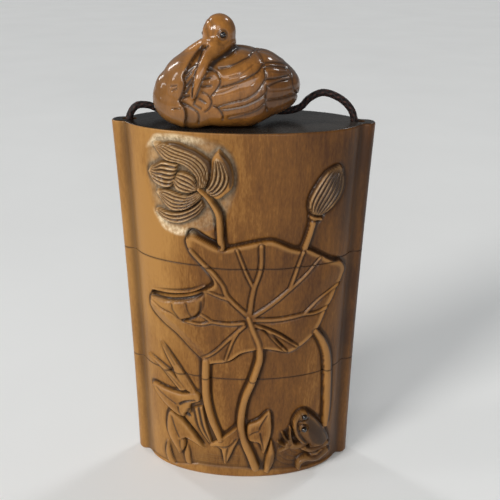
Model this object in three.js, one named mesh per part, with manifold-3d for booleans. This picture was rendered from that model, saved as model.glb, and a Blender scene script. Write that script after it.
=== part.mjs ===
// An inro: a stacked case of carved boxwood in three sections, with its cord and a crane netsuke.
// Millimetres, +Z up, +X to the right, the carved front faces -Y. The origin is the centre of the foot.
import * as THREE from 'three';
import { mergeVertices } from 'three/addons/utils/BufferGeometryUtils.js';
import Module from 'manifold-3d';

const wasm = await Module();
wasm.setup();

// Driving dimensions of the case.
const caseWidth = 60;
const caseDepth = 25;
const bottomHeight = 33;
const middleHeight = 31.5;
const lidHeight = 31.5;
const columnRadius = 2.3; // the round column at each end of the plan
const columnReach = 3; // how far a column stands out past the body's own curve
const grooveSoftness = 0.8; // how gently the body runs into its columns
const waist = 0.5; // how much each side draws in at mid height
const footRound = 1.1;
const topRound = 0.45;
const seamRound = 0.22;

// Hollows, rims and cord ways.
const sideWall = 6.5; // between the body's own curve and the hollow, at the sides
const faceWall = 3.8; // the same at the front and the back
const rimWall = 1.2;
const rimHeight = 4;
const rimClearance = 0.25;
const rimHeadroom = 0.4;
const bottomFloor = 4.6;
const middleFloor = 2;
const roof = 2.7;
const cordDiameter = 1.6;
const channelInset = 4.1; // from the side of the case to the middle of a cord channel
const channelLength = 3.4;
const channelWidth = 2;
const footGrooveWidth = 2.4;
const footGrooveDepth = 2.2;
const turnRoom = 4.8; // height of the pocket in which the cord turns under the foot
const turnRun = 4.1; // how far that pocket runs in from the channel's middle

// Carving on the case.
const reliefSink = 0.6; // how deep a carved figure is rooted in the wall
const planSteps = 13; // points to a quarter of the plan

// The crane.
const birdPlace = [-3.4, -3.4]; // the middle of its underside on the lid
const birdHalfLength = 15;
const birdHalfDepth = 9.8;
const birdHeight = 17; // the body without the head
const birdSquareness = 2.4;
const birdFlat = 0.35; // how much of its underside is worn flat
const tailLift = 1.6; // how far the tail rises clear of the lid
const tailDrop = 1.9; // how far the back slopes down to the tail
const craneEyeRadius = 0.62;
const frogEyeRadius = 0.72;
const eyeGap = 0.1;
const cordHoleRadius = 1.15;

const caseHeight = bottomHeight + middleHeight + lidHeight;
const bodyHalfWidth = caseWidth / 2 - columnReach;
const columnAt = caseWidth / 2 - columnRadius;
const channelAt = caseWidth / 2 - channelInset;
const cavityHalfWidth = bodyHalfWidth - sideWall;
const cavityHalfDepth = caseDepth / 2 - faceWall;
const middleBase = bottomHeight;
const lidBase = bottomHeight + middleHeight;

// Solids from code

function solid(points, triangles) {
  const build = (order) => new wasm.Manifold(new wasm.Mesh({
    numProp: 3,
    vertProperties: new Float32Array(points.flat()),
    triVerts: new Uint32Array(order.flat()),
  }));
  const first = build(triangles);
  return first.volume() > 0 ? first : build(triangles.map(([a, b, c]) => [a, c, b]));
}

// A closed skin over a row of rings with as many points each, with a fan at both ends.
function skin(rings) {
  const count = rings[0].length;
  const points = rings.flat();
  const triangles = [];
  for (let r = 0; r + 1 < rings.length; r += 1) {
    for (let i = 0; i < count; i += 1) {
      const j = (i + 1) % count;
      const a = r * count;
      const b = a + count;
      triangles.push([a + i, a + j, b + j], [a + i, b + j, b + i]);
    }
  }
  for (const [ring, turned] of [[0, true], [rings.length - 1, false]]) {
    const middle = points.length;
    points.push([0, 1, 2].map((k) => rings[ring].reduce((sum, p) => sum + p[k], 0) / count));
    for (let i = 0; i < count; i += 1) {
      const a = ring * count + i;
      const b = ring * count + (i + 1) % count;
      triangles.push(turned ? [middle, b, a] : [middle, a, b]);
    }
  }
  return solid(points, triangles);
}

function fromGeometry(geometry) {
  const bare = geometry.clone();
  bare.deleteAttribute('normal');
  bare.deleteAttribute('uv');
  const merged = mergeVertices(bare, 1e-4);
  const place = merged.getAttribute('position');
  const index = Array.from(merged.index.array);
  const points = Array.from({ length: place.count }, (_, i) => [place.getX(i), place.getY(i), place.getZ(i)]);
  const triangles = [];
  for (let i = 0; i < index.length; i += 3) triangles.push(index.slice(i, i + 3));
  return solid(points, triangles);
}

function prism(shape, low, high, curveSegments = 16) {
  const settings = { depth: high - low, bevelEnabled: false, curveSegments };
  return fromGeometry(new THREE.ExtrudeGeometry(shape, settings).translate(0, 0, low));
}

function box(low, high) {
  const size = high.map((value, k) => value - low[k]);
  const geometry = new THREE.BoxGeometry(...size);
  return fromGeometry(geometry.translate(...low.map((value, k) => value + size[k] / 2)));
}

function ball(centre, radii, turn = [0, 0, 0], around = 12, along = 8) {
  const geometry = new THREE.SphereGeometry(1, around, along).scale(...radii);
  geometry.rotateX(turn[0]).rotateY(turn[1]).rotateZ(turn[2]).translate(...centre);
  return fromGeometry(geometry);
}

function bead(centre, radius) {
  return ball(centre, [radius, radius, radius], [0, 0, 0], 8, 6);
}

function joined(pieces) {
  return pieces.reduce((whole, piece) => whole.add(piece));
}

function ellipse(halfWidth, halfDepth) {
  return new THREE.Shape().absellipse(0, 0, halfWidth, halfDepth, 0, Math.PI * 2);
}

function slot(centre, length, width) {
  const straight = length / 2 - width / 2;
  const shape = new THREE.Shape();
  shape.absarc(centre + straight, 0, width / 2, -Math.PI / 2, Math.PI / 2);
  shape.absarc(centre - straight, 0, width / 2, Math.PI / 2, Math.PI * 1.5);
  return shape;
}

// The outer form of the case

function halfDepth(x) {
  const across = Math.abs(x);
  const body = across < bodyHalfWidth ? (caseDepth / 2) * Math.sqrt(1 - (across / bodyHalfWidth) ** 2) : 0;
  const column = Math.sqrt(Math.max(0, columnRadius ** 2 - (across - columnAt) ** 2));
  const blend = Math.max(grooveSoftness - Math.abs(body - column), 0) / grooveSoftness;
  return Math.max(body, column) + blend * blend * grooveSoftness / 4;
}

function waistAt(z) {
  const rise = z / caseHeight;
  return 1 - (waist / (caseWidth / 2)) * 4 * rise * (1 - rise);
}

const plan = [];
for (let i = 0; i < 4 * planSteps; i += 1) {
  const turn = (i / (4 * planSteps)) * Math.PI * 2;
  const x = (caseWidth / 2) * Math.cos(turn);
  plan.push([x, i % (2 * planSteps) === 0 ? 0 : Math.sign(Math.sin(turn)) * halfDepth(x)]);
}

function planRing(z, inset) {
  const scale = waistAt(z);
  return plan.map(([x, y], i) => {
    const [ax, ay] = plan[(i + plan.length - 1) % plan.length];
    const [bx, by] = plan[(i + 1) % plan.length];
    const length = Math.hypot(bx - ax, by - ay);
    return [(x - inset * (by - ay) / length) * scale, (y + inset * (bx - ax) / length) * scale, z];
  });
}

function section(low, high, lowRound, highRound) {
  const rings = [];
  for (const share of [0, 1]) {
    const drop = lowRound * (1 - Math.sqrt(1 - (1 - share) ** 2));
    rings.push(planRing(low + lowRound * share, drop));
  }
  rings.push(planRing((low + high) / 2, 0));
  for (const share of [1, 0]) {
    const drop = highRound * (1 - Math.sqrt(1 - (1 - share) ** 2));
    rings.push(planRing(high - highRound * share, drop));
  }
  return skin(rings);
}

// Carving that lies on the case: a point on its face, lifted by so much

function onFace(side) {
  return ([x, z], lift) => {
    const scale = waistAt(z);
    const flat = Math.min(Math.abs(x) / scale, bodyHalfWidth - 0.6);
    const depth = halfDepth(flat) * scale;
    const slope = (halfDepth(flat + 0.2) - halfDepth(Math.max(flat - 0.2, 0))) / 0.4 * Math.sign(x || 1);
    const length = Math.hypot(slope, 1);
    return [x - lift * slope / length, side * (depth + lift / length), z];
  };
}

// A long carved form along a curve: a stem, a petal or a blade, highest along its middle.
function blade(face, line, widths, height, { edge = 0.45, steps = 3, sink = reliefSink } = {}) {
  const curve = new THREE.SplineCurve(line.map(([x, z]) => new THREE.Vector2(x, z)));
  const rings = [];
  for (let i = 0; i <= steps; i += 1) {
    const t = i / steps;
    const place = curve.getPoint(t);
    const along = curve.getTangent(t);
    const at = t * (widths.length - 1);
    const k = Math.min(Math.floor(at), widths.length - 2);
    const half = (widths[k] + (widths[k + 1] - widths[k]) * (at - k)) / 2;
    const across = (share) => [place.x - along.y * half * share, place.y + along.x * half * share];
    rings.push([
      face(across(-1), edge * height),
      face(across(0), height),
      face(across(1), edge * height),
      face(across(1), -sink),
      face(across(-1), -sink),
    ]);
  }
  return skin(rings);
}

const petalWidths = (width) => [0.25 * width, 0.8 * width, width, 0.85 * width, 0.5 * width, 0.12 * width];
const bladeWidths = (width) => [0.3 * width, 0.75 * width, width, 0.8 * width, 0.12 * width];

// A dished leaf: a fan of rings from its navel to its outline, with a vein to each outline point on the list.
function leaf(face, navel, outline, veined, lift) {
  const across = (share) => outline.map(([x, z]) => [
    navel[0] + (x - navel[0]) * share,
    navel[1] + (z - navel[1]) * share,
  ]);
  const top = [[0.16, 0.75, 0.75], [0.45, 0.45, 0.95], [0.82, 0.6, 1], [1, 0.9, 1]].map(
    ([share, dish, vein]) => across(share).map(
      (point, i) => face(point, lift * (veined.includes(i) ? vein : dish)),
    ),
  );
  const under = [1, 0.5].map((share) => across(share).map((point) => face(point, -reliefSink)));
  return skin([...top, ...under]);
}

function lotusFlower(face) {
  const heart = [-8.9, 83.4];
  const petal = (line, width, height) => blade(face, line, petalWidths(width), height);
  return [
    petal([[-8.0, 84.5], [-9.2, 90.2], [-16.4, 93.2]], 3.4, 0.7),
    petal([[-9, 83.8], [-13.2, 89.6], [-18.6, 93.2]], 4.6, 1.2),
    petal([[-12, 84.4], [-16.4, 86.2], [-21, 87.3]], 5.4, 0.9),
    petal([[-9.2, 79.6], [-14.2, 76.2], [-19.4, 77.3]], 4.2, 1.0),
    petal([[-9.4, 82.2], [-13.8, 80.3], [-18.9, 82]], 4.4, 1.15),
    petal([[-9.6, 83.1], [-11.6, 84.6], [-14.9, 86.6]], 3.6, 1.35),
    petal([[-6.2, 81.8], [-4, 87.4], [-4.6, 93.8]], 5.2, 1.35),
    blade(face, [heart, [-6.2, 80.2], [-4.9, 76.6], [-4.6, 70]], [2.4, 2.2, 2.1, 2.1], 1.1),
  ];
}

function lotusBud(face) {
  return [
    blade(face, [[16.4, 77.2], [18.6, 81.6], [21.9, 88.2]], [3, 6, 6.4, 4.6, 0.7], 1.4),
    blade(face, [[17.1, 77.4], [16.4, 75.6]], [2.4, 2.4], 1.2, { steps: 2 }),
    blade(face, [[16.6, 76], [15.7, 72.7], [14.4, 69]], [1.8, 1.7, 1.7], 0.95),
  ];
}

const leafNavel = [2, 50.8];
const leafOutline = [
  [-12.4, 71.7], [-11.2, 72], [-8, 71.4], [-4.2, 69], [-0.9, 69.6], [2.1, 70.8], [4.8, 71.2], [8.4, 71],
  [12, 69.4], [14, 68.6], [17.4, 67.4], [21.4, 64.6], [24.6, 61.9], [23.6, 59], [22.6, 57.2], [20.6, 52],
  [17.4, 45.2], [13, 42.2], [8.6, 41.8], [2.6, 42], [-2.8, 39.2], [-6.4, 37.6], [-9.6, 38.2], [-12.6, 41.6],
  [-16.8, 46], [-21.4, 51.6], [-22.2, 54], [-15.5, 56.2], [-8.2, 58.4], [-6.2, 60.2], [-9.2, 65.2],
];
const leafVeins = [1, 4, 7, 10, 14, 17, 20, 23, 26, 28];

function lotusLeaf(face) {
  return [
    leaf(face, leafNavel, leafOutline, leafVeins, 1.1),
    blade(face, [[-22.2, 54.3], [-16, 56.2], [-8, 58.5]], [1, 3, 2.4, 0.8], 1.5),
    blade(face, [[-12.4, 71.6], [-9.4, 71.9], [-4.2, 69.2]], [0.8, 1.7, 0.7], 1.5, { steps: 3 }),
  ];
}

function stems(face) {
  return [
    blade(face, [[2, 50.8], [4.4, 43.5], [4.1, 37.3], [1.1, 27.8], [0, 18.5], [1.1, 12.7], [3.6, 5]],
      [1.7, 1.7, 1.8, 1.9, 2, 2.2, 2.4], 1.6, { steps: 11 }),
    blade(face, [[-8.7, 37.6], [-9, 29], [-7.8, 20.6], [-5.6, 13.8]], [2.1, 2.1, 2, 1.8], 1.05),
    blade(face, [[17.6, 46], [20.4, 41], [22, 34], [22.3, 25], [22.2, 14.5]],
      [2, 2, 2, 2, 1.6], 1.1, { steps: 7 }),
  ];
}

function waterPlants(face) {
  const long = (line, width, height) => blade(face, line, bladeWidths(width), height);
  return [
    long([[-11.6, 27.4], [-15, 34], [-20.3, 41.5]], 3, 1),
    long([[-14.6, 28], [-18.8, 32.6], [-24, 36]], 2.6, 0.9),
    long([[-13, 21], [-17, 25.4], [-23, 27.4]], 6.4, 1.1),
    long([[-13.4, 8], [-15.8, 14], [-18.8, 20]], 5.6, 1.1),
    long([[-10.2, 10.4], [-13, 15], [-15.9, 18.8]], 2.6, 1.2),
    long([[-18.6, 1.4], [-20.2, 5.4], [-20.1, 9.3]], 2, 0.7),
    long([[-4.6, 5.2], [-3.4, 11], [-1, 18.4]], 4.6, 1.1),
    long([[-2.8, 10.6], [-8, 11.6]], 2, 1),
    long([[5.9, 9.4], [5.2, 16], [7.2, 23]], 5.4, 1.1),
    long([[5.2, 17.6], [2, 16.4]], 2, 0.9),
    long([[6.8, 2.4], [8, 8], [7.9, 13.1]], 2.4, 0.8),
  ];
}

// The frog climbs up the bank at the lower right: back, head, folded leg and a spread hand.
const frogEyes = [[15.8, 17.2, 2.35], [16, 20.8, 1.75]];

function frog(face) {
  const bump = (at, radii, turn) => ball(face(at, 0), radii, [0, turn, 0.62], 8, 5);
  return [
    bump([19.2, 14.8], [3.1, 2.1, 6.2], 0.2),
    bump([16.4, 18.2], [2.6, 2.2, 3.6], 0.1),
    bump([20.8, 7.6], [2, 1.9, 3.2], -0.3),
    blade(face, [[14.8, 21], [14.1, 17.4], [15, 13.2], [17, 10.8]], [0.9, 1.3, 1.4, 1], 1.9),
    blade(face, [[21.4, 8.6], [18.6, 6.4], [15.8, 5.4], [15.4, 3.2]], [3, 2.8, 2, 1.2], 1.6),
    blade(face, [[16.4, 10.6], [14.2, 11], [12.6, 12.6]], [2.4, 2.2, 2.6], 1.3, { steps: 4 }),
    blade(face, [[13, 12], [11.6, 13.6], [10.4, 15.8]], [0.9, 0.8, 0.5], 1.1, { steps: 3 }),
    blade(face, [[13.4, 12.4], [12.8, 14.8], [12.6, 17.2]], [0.9, 0.8, 0.5], 1.1, { steps: 3 }),
    blade(face, [[12.8, 11.6], [11, 12], [9.6, 12.6]], [0.9, 0.8, 0.5], 1.1, { steps: 3 }),
  ];
}

function frontCarving() {
  const face = onFace(-1);
  return joined([
    ...lotusFlower(face), ...lotusBud(face), ...stems(face), ...lotusLeaf(face), ...waterPlants(face),
    ...frog(face),
  ]);
}

// The back is plainer: one leaf on a tall stem, a bud, and two blades at its foot.
const backNavel = [-3, 60];
const backLeafSize = [13.5, 9.5];

function backCarving() {
  const face = onFace(1);
  const outline = [];
  const points = 18;
  for (let i = 0; i < points; i += 1) {
    const turn = (i / points) * Math.PI * 2;
    const ripple = 1 + 0.09 * Math.cos(3 * turn + 1);
    outline.push([
      backNavel[0] + backLeafSize[0] * ripple * Math.cos(turn),
      backNavel[1] + backLeafSize[1] * ripple * Math.sin(turn),
    ]);
  }
  return joined([
    leaf(face, backNavel, outline, outline.map((_, i) => i).filter((i) => i % 3 === 0), 0.95),
    blade(face, [backNavel, [-4.5, 44], [-1, 24], [2, 4]], [1.7, 1.8, 2, 2.2], 1.2, { steps: 8 }),
    blade(face, [[9.5, 78], [11.5, 83], [12.5, 88.5]], [2.4, 5.2, 5.6, 3.6, 0.6], 1.1),
    blade(face, [[9.6, 79], [10.5, 60], [7, 36], [4, 12]], [1.5, 1.6, 1.7, 1.8], 0.9, { steps: 8 }),
    blade(face, [[3, 3], [7, 12], [14, 22]], bladeWidths(3.4), 0.9),
    blade(face, [[-1, 3], [-6, 12], [-13, 19]], bladeWidths(3.4), 0.9),
  ]);
}

const carving = frontCarving().add(backCarving());

function carvedShare(low, high) {
  const reach = caseWidth;
  return carving.intersect(box([-reach, -reach, low], [reach, reach, high]));
}

// Cord ways shared by the three sections

function channels(low, high) {
  return [-1, 1].map((side) => prism(slot(side * channelAt, channelLength, channelWidth), low, high, 3));
}

function cavity(low, high, extra = 0) {
  return prism(ellipse(cavityHalfWidth + extra, cavityHalfDepth + extra), low, high);
}

function rim(seam) {
  return cavity(seam - 1, seam + rimHeight, rimWall);
}

function rimSeat(seam) {
  return cavity(seam - 1, seam + rimHeight + rimHeadroom, rimWall + rimClearance);
}

function bottomCase() {
  const channelEnd = channelAt + channelLength / 2;
  const half = footGrooveWidth / 2;
  let body = section(0, middleBase, footRound, seamRound).add(carvedShare(footRound, middleBase));
  body = body.add(rim(middleBase)).subtract(cavity(bottomFloor, middleBase + rimHeight + 1));
  for (const channel of channels(-1, middleBase + 1)) body = body.subtract(channel);
  body = body.subtract(box([-channelAt, -half, -1], [channelAt, half, footGrooveDepth]));
  for (const side of [-1, 1]) {
    const ends = [side * (channelAt - turnRun), side * channelEnd].sort((a, b) => a - b);
    body = body.subtract(box([ends[0], -channelWidth / 2, -1], [ends[1], channelWidth / 2, turnRoom]));
  }
  for (const [x, z, lift] of frogEyes) {
    body = body.subtract(bead(onFace(-1)([x, z], lift), frogEyeRadius + eyeGap));
  }
  return body;
}

function middleCase() {
  const floor = middleBase + rimHeight + rimHeadroom + middleFloor;
  let body = section(middleBase, lidBase, seamRound, seamRound).add(carvedShare(middleBase, lidBase));
  body = body.subtract(rimSeat(middleBase)).add(rim(lidBase));
  body = body.subtract(cavity(floor, lidBase + rimHeight + 1));
  for (const channel of channels(middleBase - 1, lidBase + 1)) body = body.subtract(channel);
  return body;
}

function lid() {
  let body = section(lidBase, caseHeight, seamRound, topRound);
  body = body.add(carvedShare(lidBase, caseHeight - topRound));
  body = body.subtract(rimSeat(lidBase)).subtract(cavity(lidBase, caseHeight - roof));
  for (const channel of channels(lidBase - 1, caseHeight + 1)) body = body.subtract(channel);
  return body;
}

// The crane: its own frame has x to the right, y away and z up from the lid

const birdMiddle = [0.9, 0, birdHeight / 2 - birdFlat];
const birdRadii = [birdHalfLength, birdHalfDepth, birdHeight / 2];

function squared(value) {
  return Math.sign(value) * Math.abs(value) ** (2 / birdSquareness);
}

// Draws a point of the body in towards the tail, from below and from above.
function tapered([x, y, z]) {
  const rise = z / birdHeight;
  const below = tailLift * THREE.MathUtils.smoothstep(x, 4, 12) * (1 - rise);
  const above = tailDrop * THREE.MathUtils.smoothstep(x, 8, 16) * rise;
  return [x, y, z + below - above];
}

function birdBody() {
  const around = 24;
  const levels = 10;
  const rings = [];
  for (let k = 1; k < levels; k += 1) {
    const tilt = (k / levels - 0.5) * Math.PI;
    const ring = [];
    for (let i = 0; i < around; i += 1) {
      const turn = (i / around) * Math.PI * 2;
      ring.push(tapered([
        birdMiddle[0] + birdRadii[0] * squared(Math.cos(tilt)) * squared(Math.cos(turn)),
        birdMiddle[1] + birdRadii[1] * squared(Math.cos(tilt)) * squared(Math.sin(turn)),
        birdMiddle[2] + birdRadii[2] * squared(Math.sin(tilt)),
      ]));
    }
    rings.push(ring);
  }
  return skin(rings);
}

// A point on the bird's flank, found by its place in the front view, lifted by so much.
function onFlank(side) {
  return ([x, z], lift) => {
    const p = birdSquareness;
    const u = THREE.MathUtils.clamp((x - birdMiddle[0]) / birdRadii[0], -0.97, 0.97);
    const w = THREE.MathUtils.clamp((z - birdMiddle[2]) / birdRadii[2], -0.97, 0.97);
    const rest = Math.max(1 - Math.abs(u) ** p - Math.abs(w) ** p, 0.004);
    const v = rest ** (1 / p);
    const normal = new THREE.Vector3(
      Math.sign(u) * Math.abs(u) ** (p - 1) / birdRadii[0],
      v ** (p - 1) / birdRadii[1],
      Math.sign(w) * Math.abs(w) ** (p - 1) / birdRadii[2],
    ).normalize();
    return tapered([
      x + lift * normal.x,
      side * (birdRadii[1] * v + lift * normal.y),
      z + lift * normal.z,
    ]);
  };
}

function feathers(side) {
  const face = onFlank(side);
  const shares = [0.5, 1, 1, 0.7, 0.3];
  const feather = (line, width, height) => blade(
    face, line, shares.map((share) => share * width), height, { edge: 0.5, steps: 3, sink: 0.8 },
  );
  return [
    feather([[6, 13], [10, 13.2], [13.4, 10.4]], 3.4, 0.55),
    feather([[6, 9.8], [11, 9.8], [14.2, 7.4]], 3.4, 0.65),
    feather([[5, 6.4], [10, 6.2], [13.6, 4.8]], 3.4, 0.55),
    feather([[-3.4, 8.6], [2.6, 10.4], [8, 12]], 4, 1.0),
    feather([[-4, 5.2], [2, 6.4], [8.2, 8.6]], 4, 0.9),
    ...(side < 0 ? [
      feather([[-2, 12], [3, 14.2], [7.6, 14.4]], 3.2, 0.75),
      feather([[-4, 2.6], [2, 3.2], [8.2, 5]], 3, 0.7),
      feather([[-7.2, 10.2], [-4.8, 10.6], [-2.6, 10]], 3.2, 1.05),
      feather([[-8.6, 6.4], [-6, 6.6], [-3.6, 5.8]], 3.2, 0.85),
    ] : []),
  ];
}

// A round limb along a smooth curve, thicker and thinner as its radii say.
function limb(line, radii, sides = 9, steps = 8) {
  const curve = new THREE.CatmullRomCurve3(line.map((p) => new THREE.Vector3(...p)));
  const frames = curve.computeFrenetFrames(steps);
  const rings = [];
  for (let i = 0; i <= steps; i += 1) {
    const t = i / steps;
    const place = curve.getPointAt(t);
    const at = t * (radii.length - 1);
    const k = Math.min(Math.floor(at), radii.length - 2);
    const radius = radii[k] + (radii[k + 1] - radii[k]) * (at - k);
    rings.push(Array.from({ length: sides }, (_, s) => {
      const turn = (s / sides) * Math.PI * 2;
      return place.clone()
        .addScaledVector(frames.normals[i], radius * Math.cos(turn))
        .addScaledVector(frames.binormals[i], radius * Math.sin(turn))
        .toArray();
    }));
  }
  return skin(rings);
}

const neckLine = [
  [-3, -5, 4.4], [-8.2, -3.6, 4.5], [-11.6, -1.4, 5.5], [-9.9, -0.4, 9.3], [-6.5, 0, 12.9], [-3, -0.6, 15.8],
];
const neckRadii = [3.6, 4.9, 4.6, 4.4, 4, 3.6, 3.1];
const neckTurnAt = [-10.9, -1.2, 7.4];
const neckTurnRadii = [4.7, 4.9, 4.7];
const beakLine = [[-2, -4, 16.8], [-3.8, -7.6, 13.6], [-5.6, -9.4, 10], [-6.9, -9.8, 6.9]];
const beakRadii = [2.2, 2, 1.7, 0.9];
const headAt = [-1.45, -1.4, 19.1];
const headRadii = [3.55, 3.8, 3.95];
const headTurn = [0.35, 0.1, 0];
const cheekAt = [-1.45, -1.6, 16.9];
const cheekRadii = [3.75, 3.6, 3.4];
const craneEyes = [[-0.5, -4.8, 19.1], [-4.6, -0.6, 19]];

const birdToCase = (p) => [p[0] + birdPlace[0], p[1] + birdPlace[1], p[2] + caseHeight];

// The cord, chosen by hand from the left hole of the netsuke round the case to the right one.
const turnHeight = 4.3; // where the cord leaves its channel to turn under the foot
const turnIn = 0.95; // its place halfway round that turn: in from the channel,
const turnDown = 2.25; // and down
const turnEnd = 3.2; // where the turn is over
const straightFrom = 7;
const underFoot = 1.1;
const cordLine = [
  [-11.6, 0.4, caseHeight + 2.2],
  [-15.6, 1.8, caseHeight + 1.7],
  [-19.2, 2, caseHeight + 1.8],
  [-21.9, 1.4, caseHeight + 2.8],
  [-24.3, 0.7, caseHeight + 2.7],
  [-channelAt, 0.1, caseHeight + 0.4],
  [-channelAt, 0, caseHeight - 4],
  [-channelAt, 0, lidBase],
  [-channelAt, 0, middleBase],
  [-channelAt, 0, turnHeight + 4],
  [-channelAt, 0, turnHeight],
  [-channelAt + turnIn, 0, turnHeight - turnDown],
  [-channelAt + turnEnd, 0, underFoot],
  [-channelAt + straightFrom, 0, underFoot],
  [0, 0, underFoot],
  [channelAt - straightFrom, 0, underFoot],
  [channelAt - turnEnd, 0, underFoot],
  [channelAt - turnIn, 0, turnHeight - turnDown],
  [channelAt, 0, turnHeight],
  [channelAt, 0, turnHeight + 4],
  [channelAt, 0, middleBase],
  [channelAt, 0, lidBase],
  [channelAt, 0, caseHeight - 4],
  [25.15, 0.05, caseHeight + 0.2],
  [24.2, 0.4, caseHeight + 2.6],
  [21.6, 0.9, caseHeight + 4.9],
  [17.8, 1.4, caseHeight + 6],
  [14.9, 1.9, caseHeight + 4.6],
  [12.9, 2.2, caseHeight + 2.5],
  [9.4, 2.2, caseHeight + 1.6],
  [4.4, 0.9, caseHeight + 2.2],
];

// A cord hole in the netsuke runs along the cord, a little deeper than its end.
function cordHole(points) {
  const [end, before] = points;
  const deeper = end.map((value, k) => value + (value - before[k]) * 0.12);
  const line = [deeper, ...points].map((p) => p.map((value, k) => value - birdToCase([0, 0, 0])[k]));
  return limb(line, [cordHoleRadius, cordHoleRadius], 8, 6);
}

function crane() {
  let whole = joined([
    birdBody(),
    limb(neckLine, neckRadii),
    limb(beakLine, beakRadii, 7, 4),
    ball(neckTurnAt, neckTurnRadii, headTurn),
    ball(cheekAt, cheekRadii, headTurn),
    ball(headAt, headRadii, headTurn),
    ...feathers(-1),
    ...feathers(1),
  ]);
  const reach = caseWidth;
  whole = whole.subtract(box([-reach, -reach, -reach], [reach, reach, 0]));
  for (const eye of craneEyes) whole = whole.subtract(bead(eye, craneEyeRadius + eyeGap));
  whole = whole.subtract(cordHole(cordLine.slice(0, 4)));
  whole = whole.subtract(cordHole(cordLine.slice(-4).reverse()));
  return whole;
}

function cordGeometry() {
  const profile = new THREE.Shape();
  const sides = 8;
  for (let i = 0; i < sides; i += 1) {
    const around = (i / sides) * Math.PI * 2;
    const point = [Math.cos(around) * cordDiameter / 2, Math.sin(around) * cordDiameter / 2];
    if (i === 0) profile.moveTo(...point);
    else profile.lineTo(...point);
  }
  const path = new THREE.CatmullRomCurve3(cordLine.map((p) => new THREE.Vector3(...p)), false, 'centripetal');
  return new THREE.ExtrudeGeometry(profile, { steps: 60, extrudePath: path, bevelEnabled: false });
}

// Materials and the finished group

const boxwood = (color) => new THREE.MeshStandardMaterial({ color, roughness: 0.42, metalness: 0 });
const horn = () => new THREE.MeshStandardMaterial({ color: 0x120c0a, roughness: 0.15, metalness: 0 });
const braid = () => new THREE.MeshStandardMaterial({ color: 0x1d1310, roughness: 0.7, metalness: 0 });

function toGeometry(body) {
  const mesh = body.getMesh();
  const geometry = new THREE.BufferGeometry();
  geometry.setAttribute('position', new THREE.BufferAttribute(new Float32Array(mesh.vertProperties), 3));
  geometry.setIndex(new THREE.BufferAttribute(new Uint32Array(mesh.triVerts), 1));
  geometry.computeVertexNormals();
  return geometry;
}

const group = new THREE.Group();

function place(name, geometry, material, where = [0, 0, 0], parent = group) {
  const mesh = new THREE.Mesh(geometry, material);
  mesh.name = name;
  mesh.position.set(...where);
  parent.add(mesh);
}

place('bottom_case', toGeometry(bottomCase()), boxwood(0x9a6230));
place('middle_case', toGeometry(middleCase()), boxwood(0x9a6230));
place('lid', toGeometry(lid()), boxwood(0x9a6230));

const netsuke = new THREE.Group();
netsuke.position.set(...birdToCase([0, 0, 0]));
group.add(netsuke);
place('netsuke', toGeometry(crane()), boxwood(0x8a5228), [0, 0, 0], netsuke);
['crane_eye_left', 'crane_eye_right'].forEach((name, i) => {
  place(name, new THREE.SphereGeometry(craneEyeRadius, 8, 6), horn(), craneEyes[i], netsuke);
});
['frog_eye_front', 'frog_eye_back'].forEach((name, i) => {
  const [x, z, lift] = frogEyes[i];
  place(name, new THREE.SphereGeometry(frogEyeRadius, 8, 6), horn(), onFace(-1)([x, z], lift));
});
place('cord', cordGeometry(), braid());

export default group;
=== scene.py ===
"""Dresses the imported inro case: carved sections, crane netsuke, braided cord, floor, light and camera."""

import math

import bpy
import numpy as np
from mathutils import Matrix, Vector


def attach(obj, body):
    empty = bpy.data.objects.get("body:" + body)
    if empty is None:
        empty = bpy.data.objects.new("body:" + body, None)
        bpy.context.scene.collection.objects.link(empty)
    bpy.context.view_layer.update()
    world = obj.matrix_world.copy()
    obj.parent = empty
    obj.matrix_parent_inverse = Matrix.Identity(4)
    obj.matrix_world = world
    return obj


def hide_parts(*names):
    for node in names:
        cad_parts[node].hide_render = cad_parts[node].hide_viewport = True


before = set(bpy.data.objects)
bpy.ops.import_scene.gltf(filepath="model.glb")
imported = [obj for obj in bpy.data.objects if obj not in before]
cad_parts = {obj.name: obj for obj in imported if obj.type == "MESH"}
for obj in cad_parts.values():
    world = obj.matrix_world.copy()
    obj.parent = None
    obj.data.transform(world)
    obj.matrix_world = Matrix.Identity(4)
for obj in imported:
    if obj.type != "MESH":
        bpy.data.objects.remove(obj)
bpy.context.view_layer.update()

MM = 0.001

# The case, as in the solids
CASE_WIDTH = 60 * MM
CASE_DEPTH = 25 * MM
BOTTOM_HEIGHT = 33 * MM
MIDDLE_HEIGHT = 31.5 * MM
LID_HEIGHT = 31.5 * MM
COLUMN_RADIUS = 2.3 * MM
COLUMN_REACH = 3 * MM
GROOVE_SOFTNESS = 0.8 * MM
WAIST = 0.5 * MM
FOOT_ROUND = 1.1 * MM
TOP_ROUND = 0.45 * MM
SEAM_ROUND = 0.2 * MM
SIDE_WALL = 6.5 * MM
FACE_WALL = 3.8 * MM
RIM_WALL = 1.2 * MM
RIM_HEIGHT = 4 * MM
RIM_CLEARANCE = 0.25 * MM
RIM_HEADROOM = 0.4 * MM
BOTTOM_FLOOR = 4.6 * MM
MIDDLE_FLOOR = 2 * MM
ROOF = 2.7 * MM
CHANNEL_INSET = 4.1 * MM
CHANNEL_LENGTH = 3.4 * MM
CHANNEL_WIDTH = 2 * MM
FOOT_GROOVE_WIDTH = 2.4 * MM
FOOT_GROOVE_DEPTH = 2.2 * MM
TURN_ROOM = 4.8 * MM
TURN_RUN = 4.1 * MM
CORD_DIAMETER = 1.6 * MM
FROG_EYE_RADIUS = 0.72 * MM
CRANE_EYE_RADIUS = 0.62 * MM
EYE_GAP = 0.1 * MM
BIRD_PLACE = Vector((-3.4 * MM, -3.4 * MM, 96 * MM))

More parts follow.
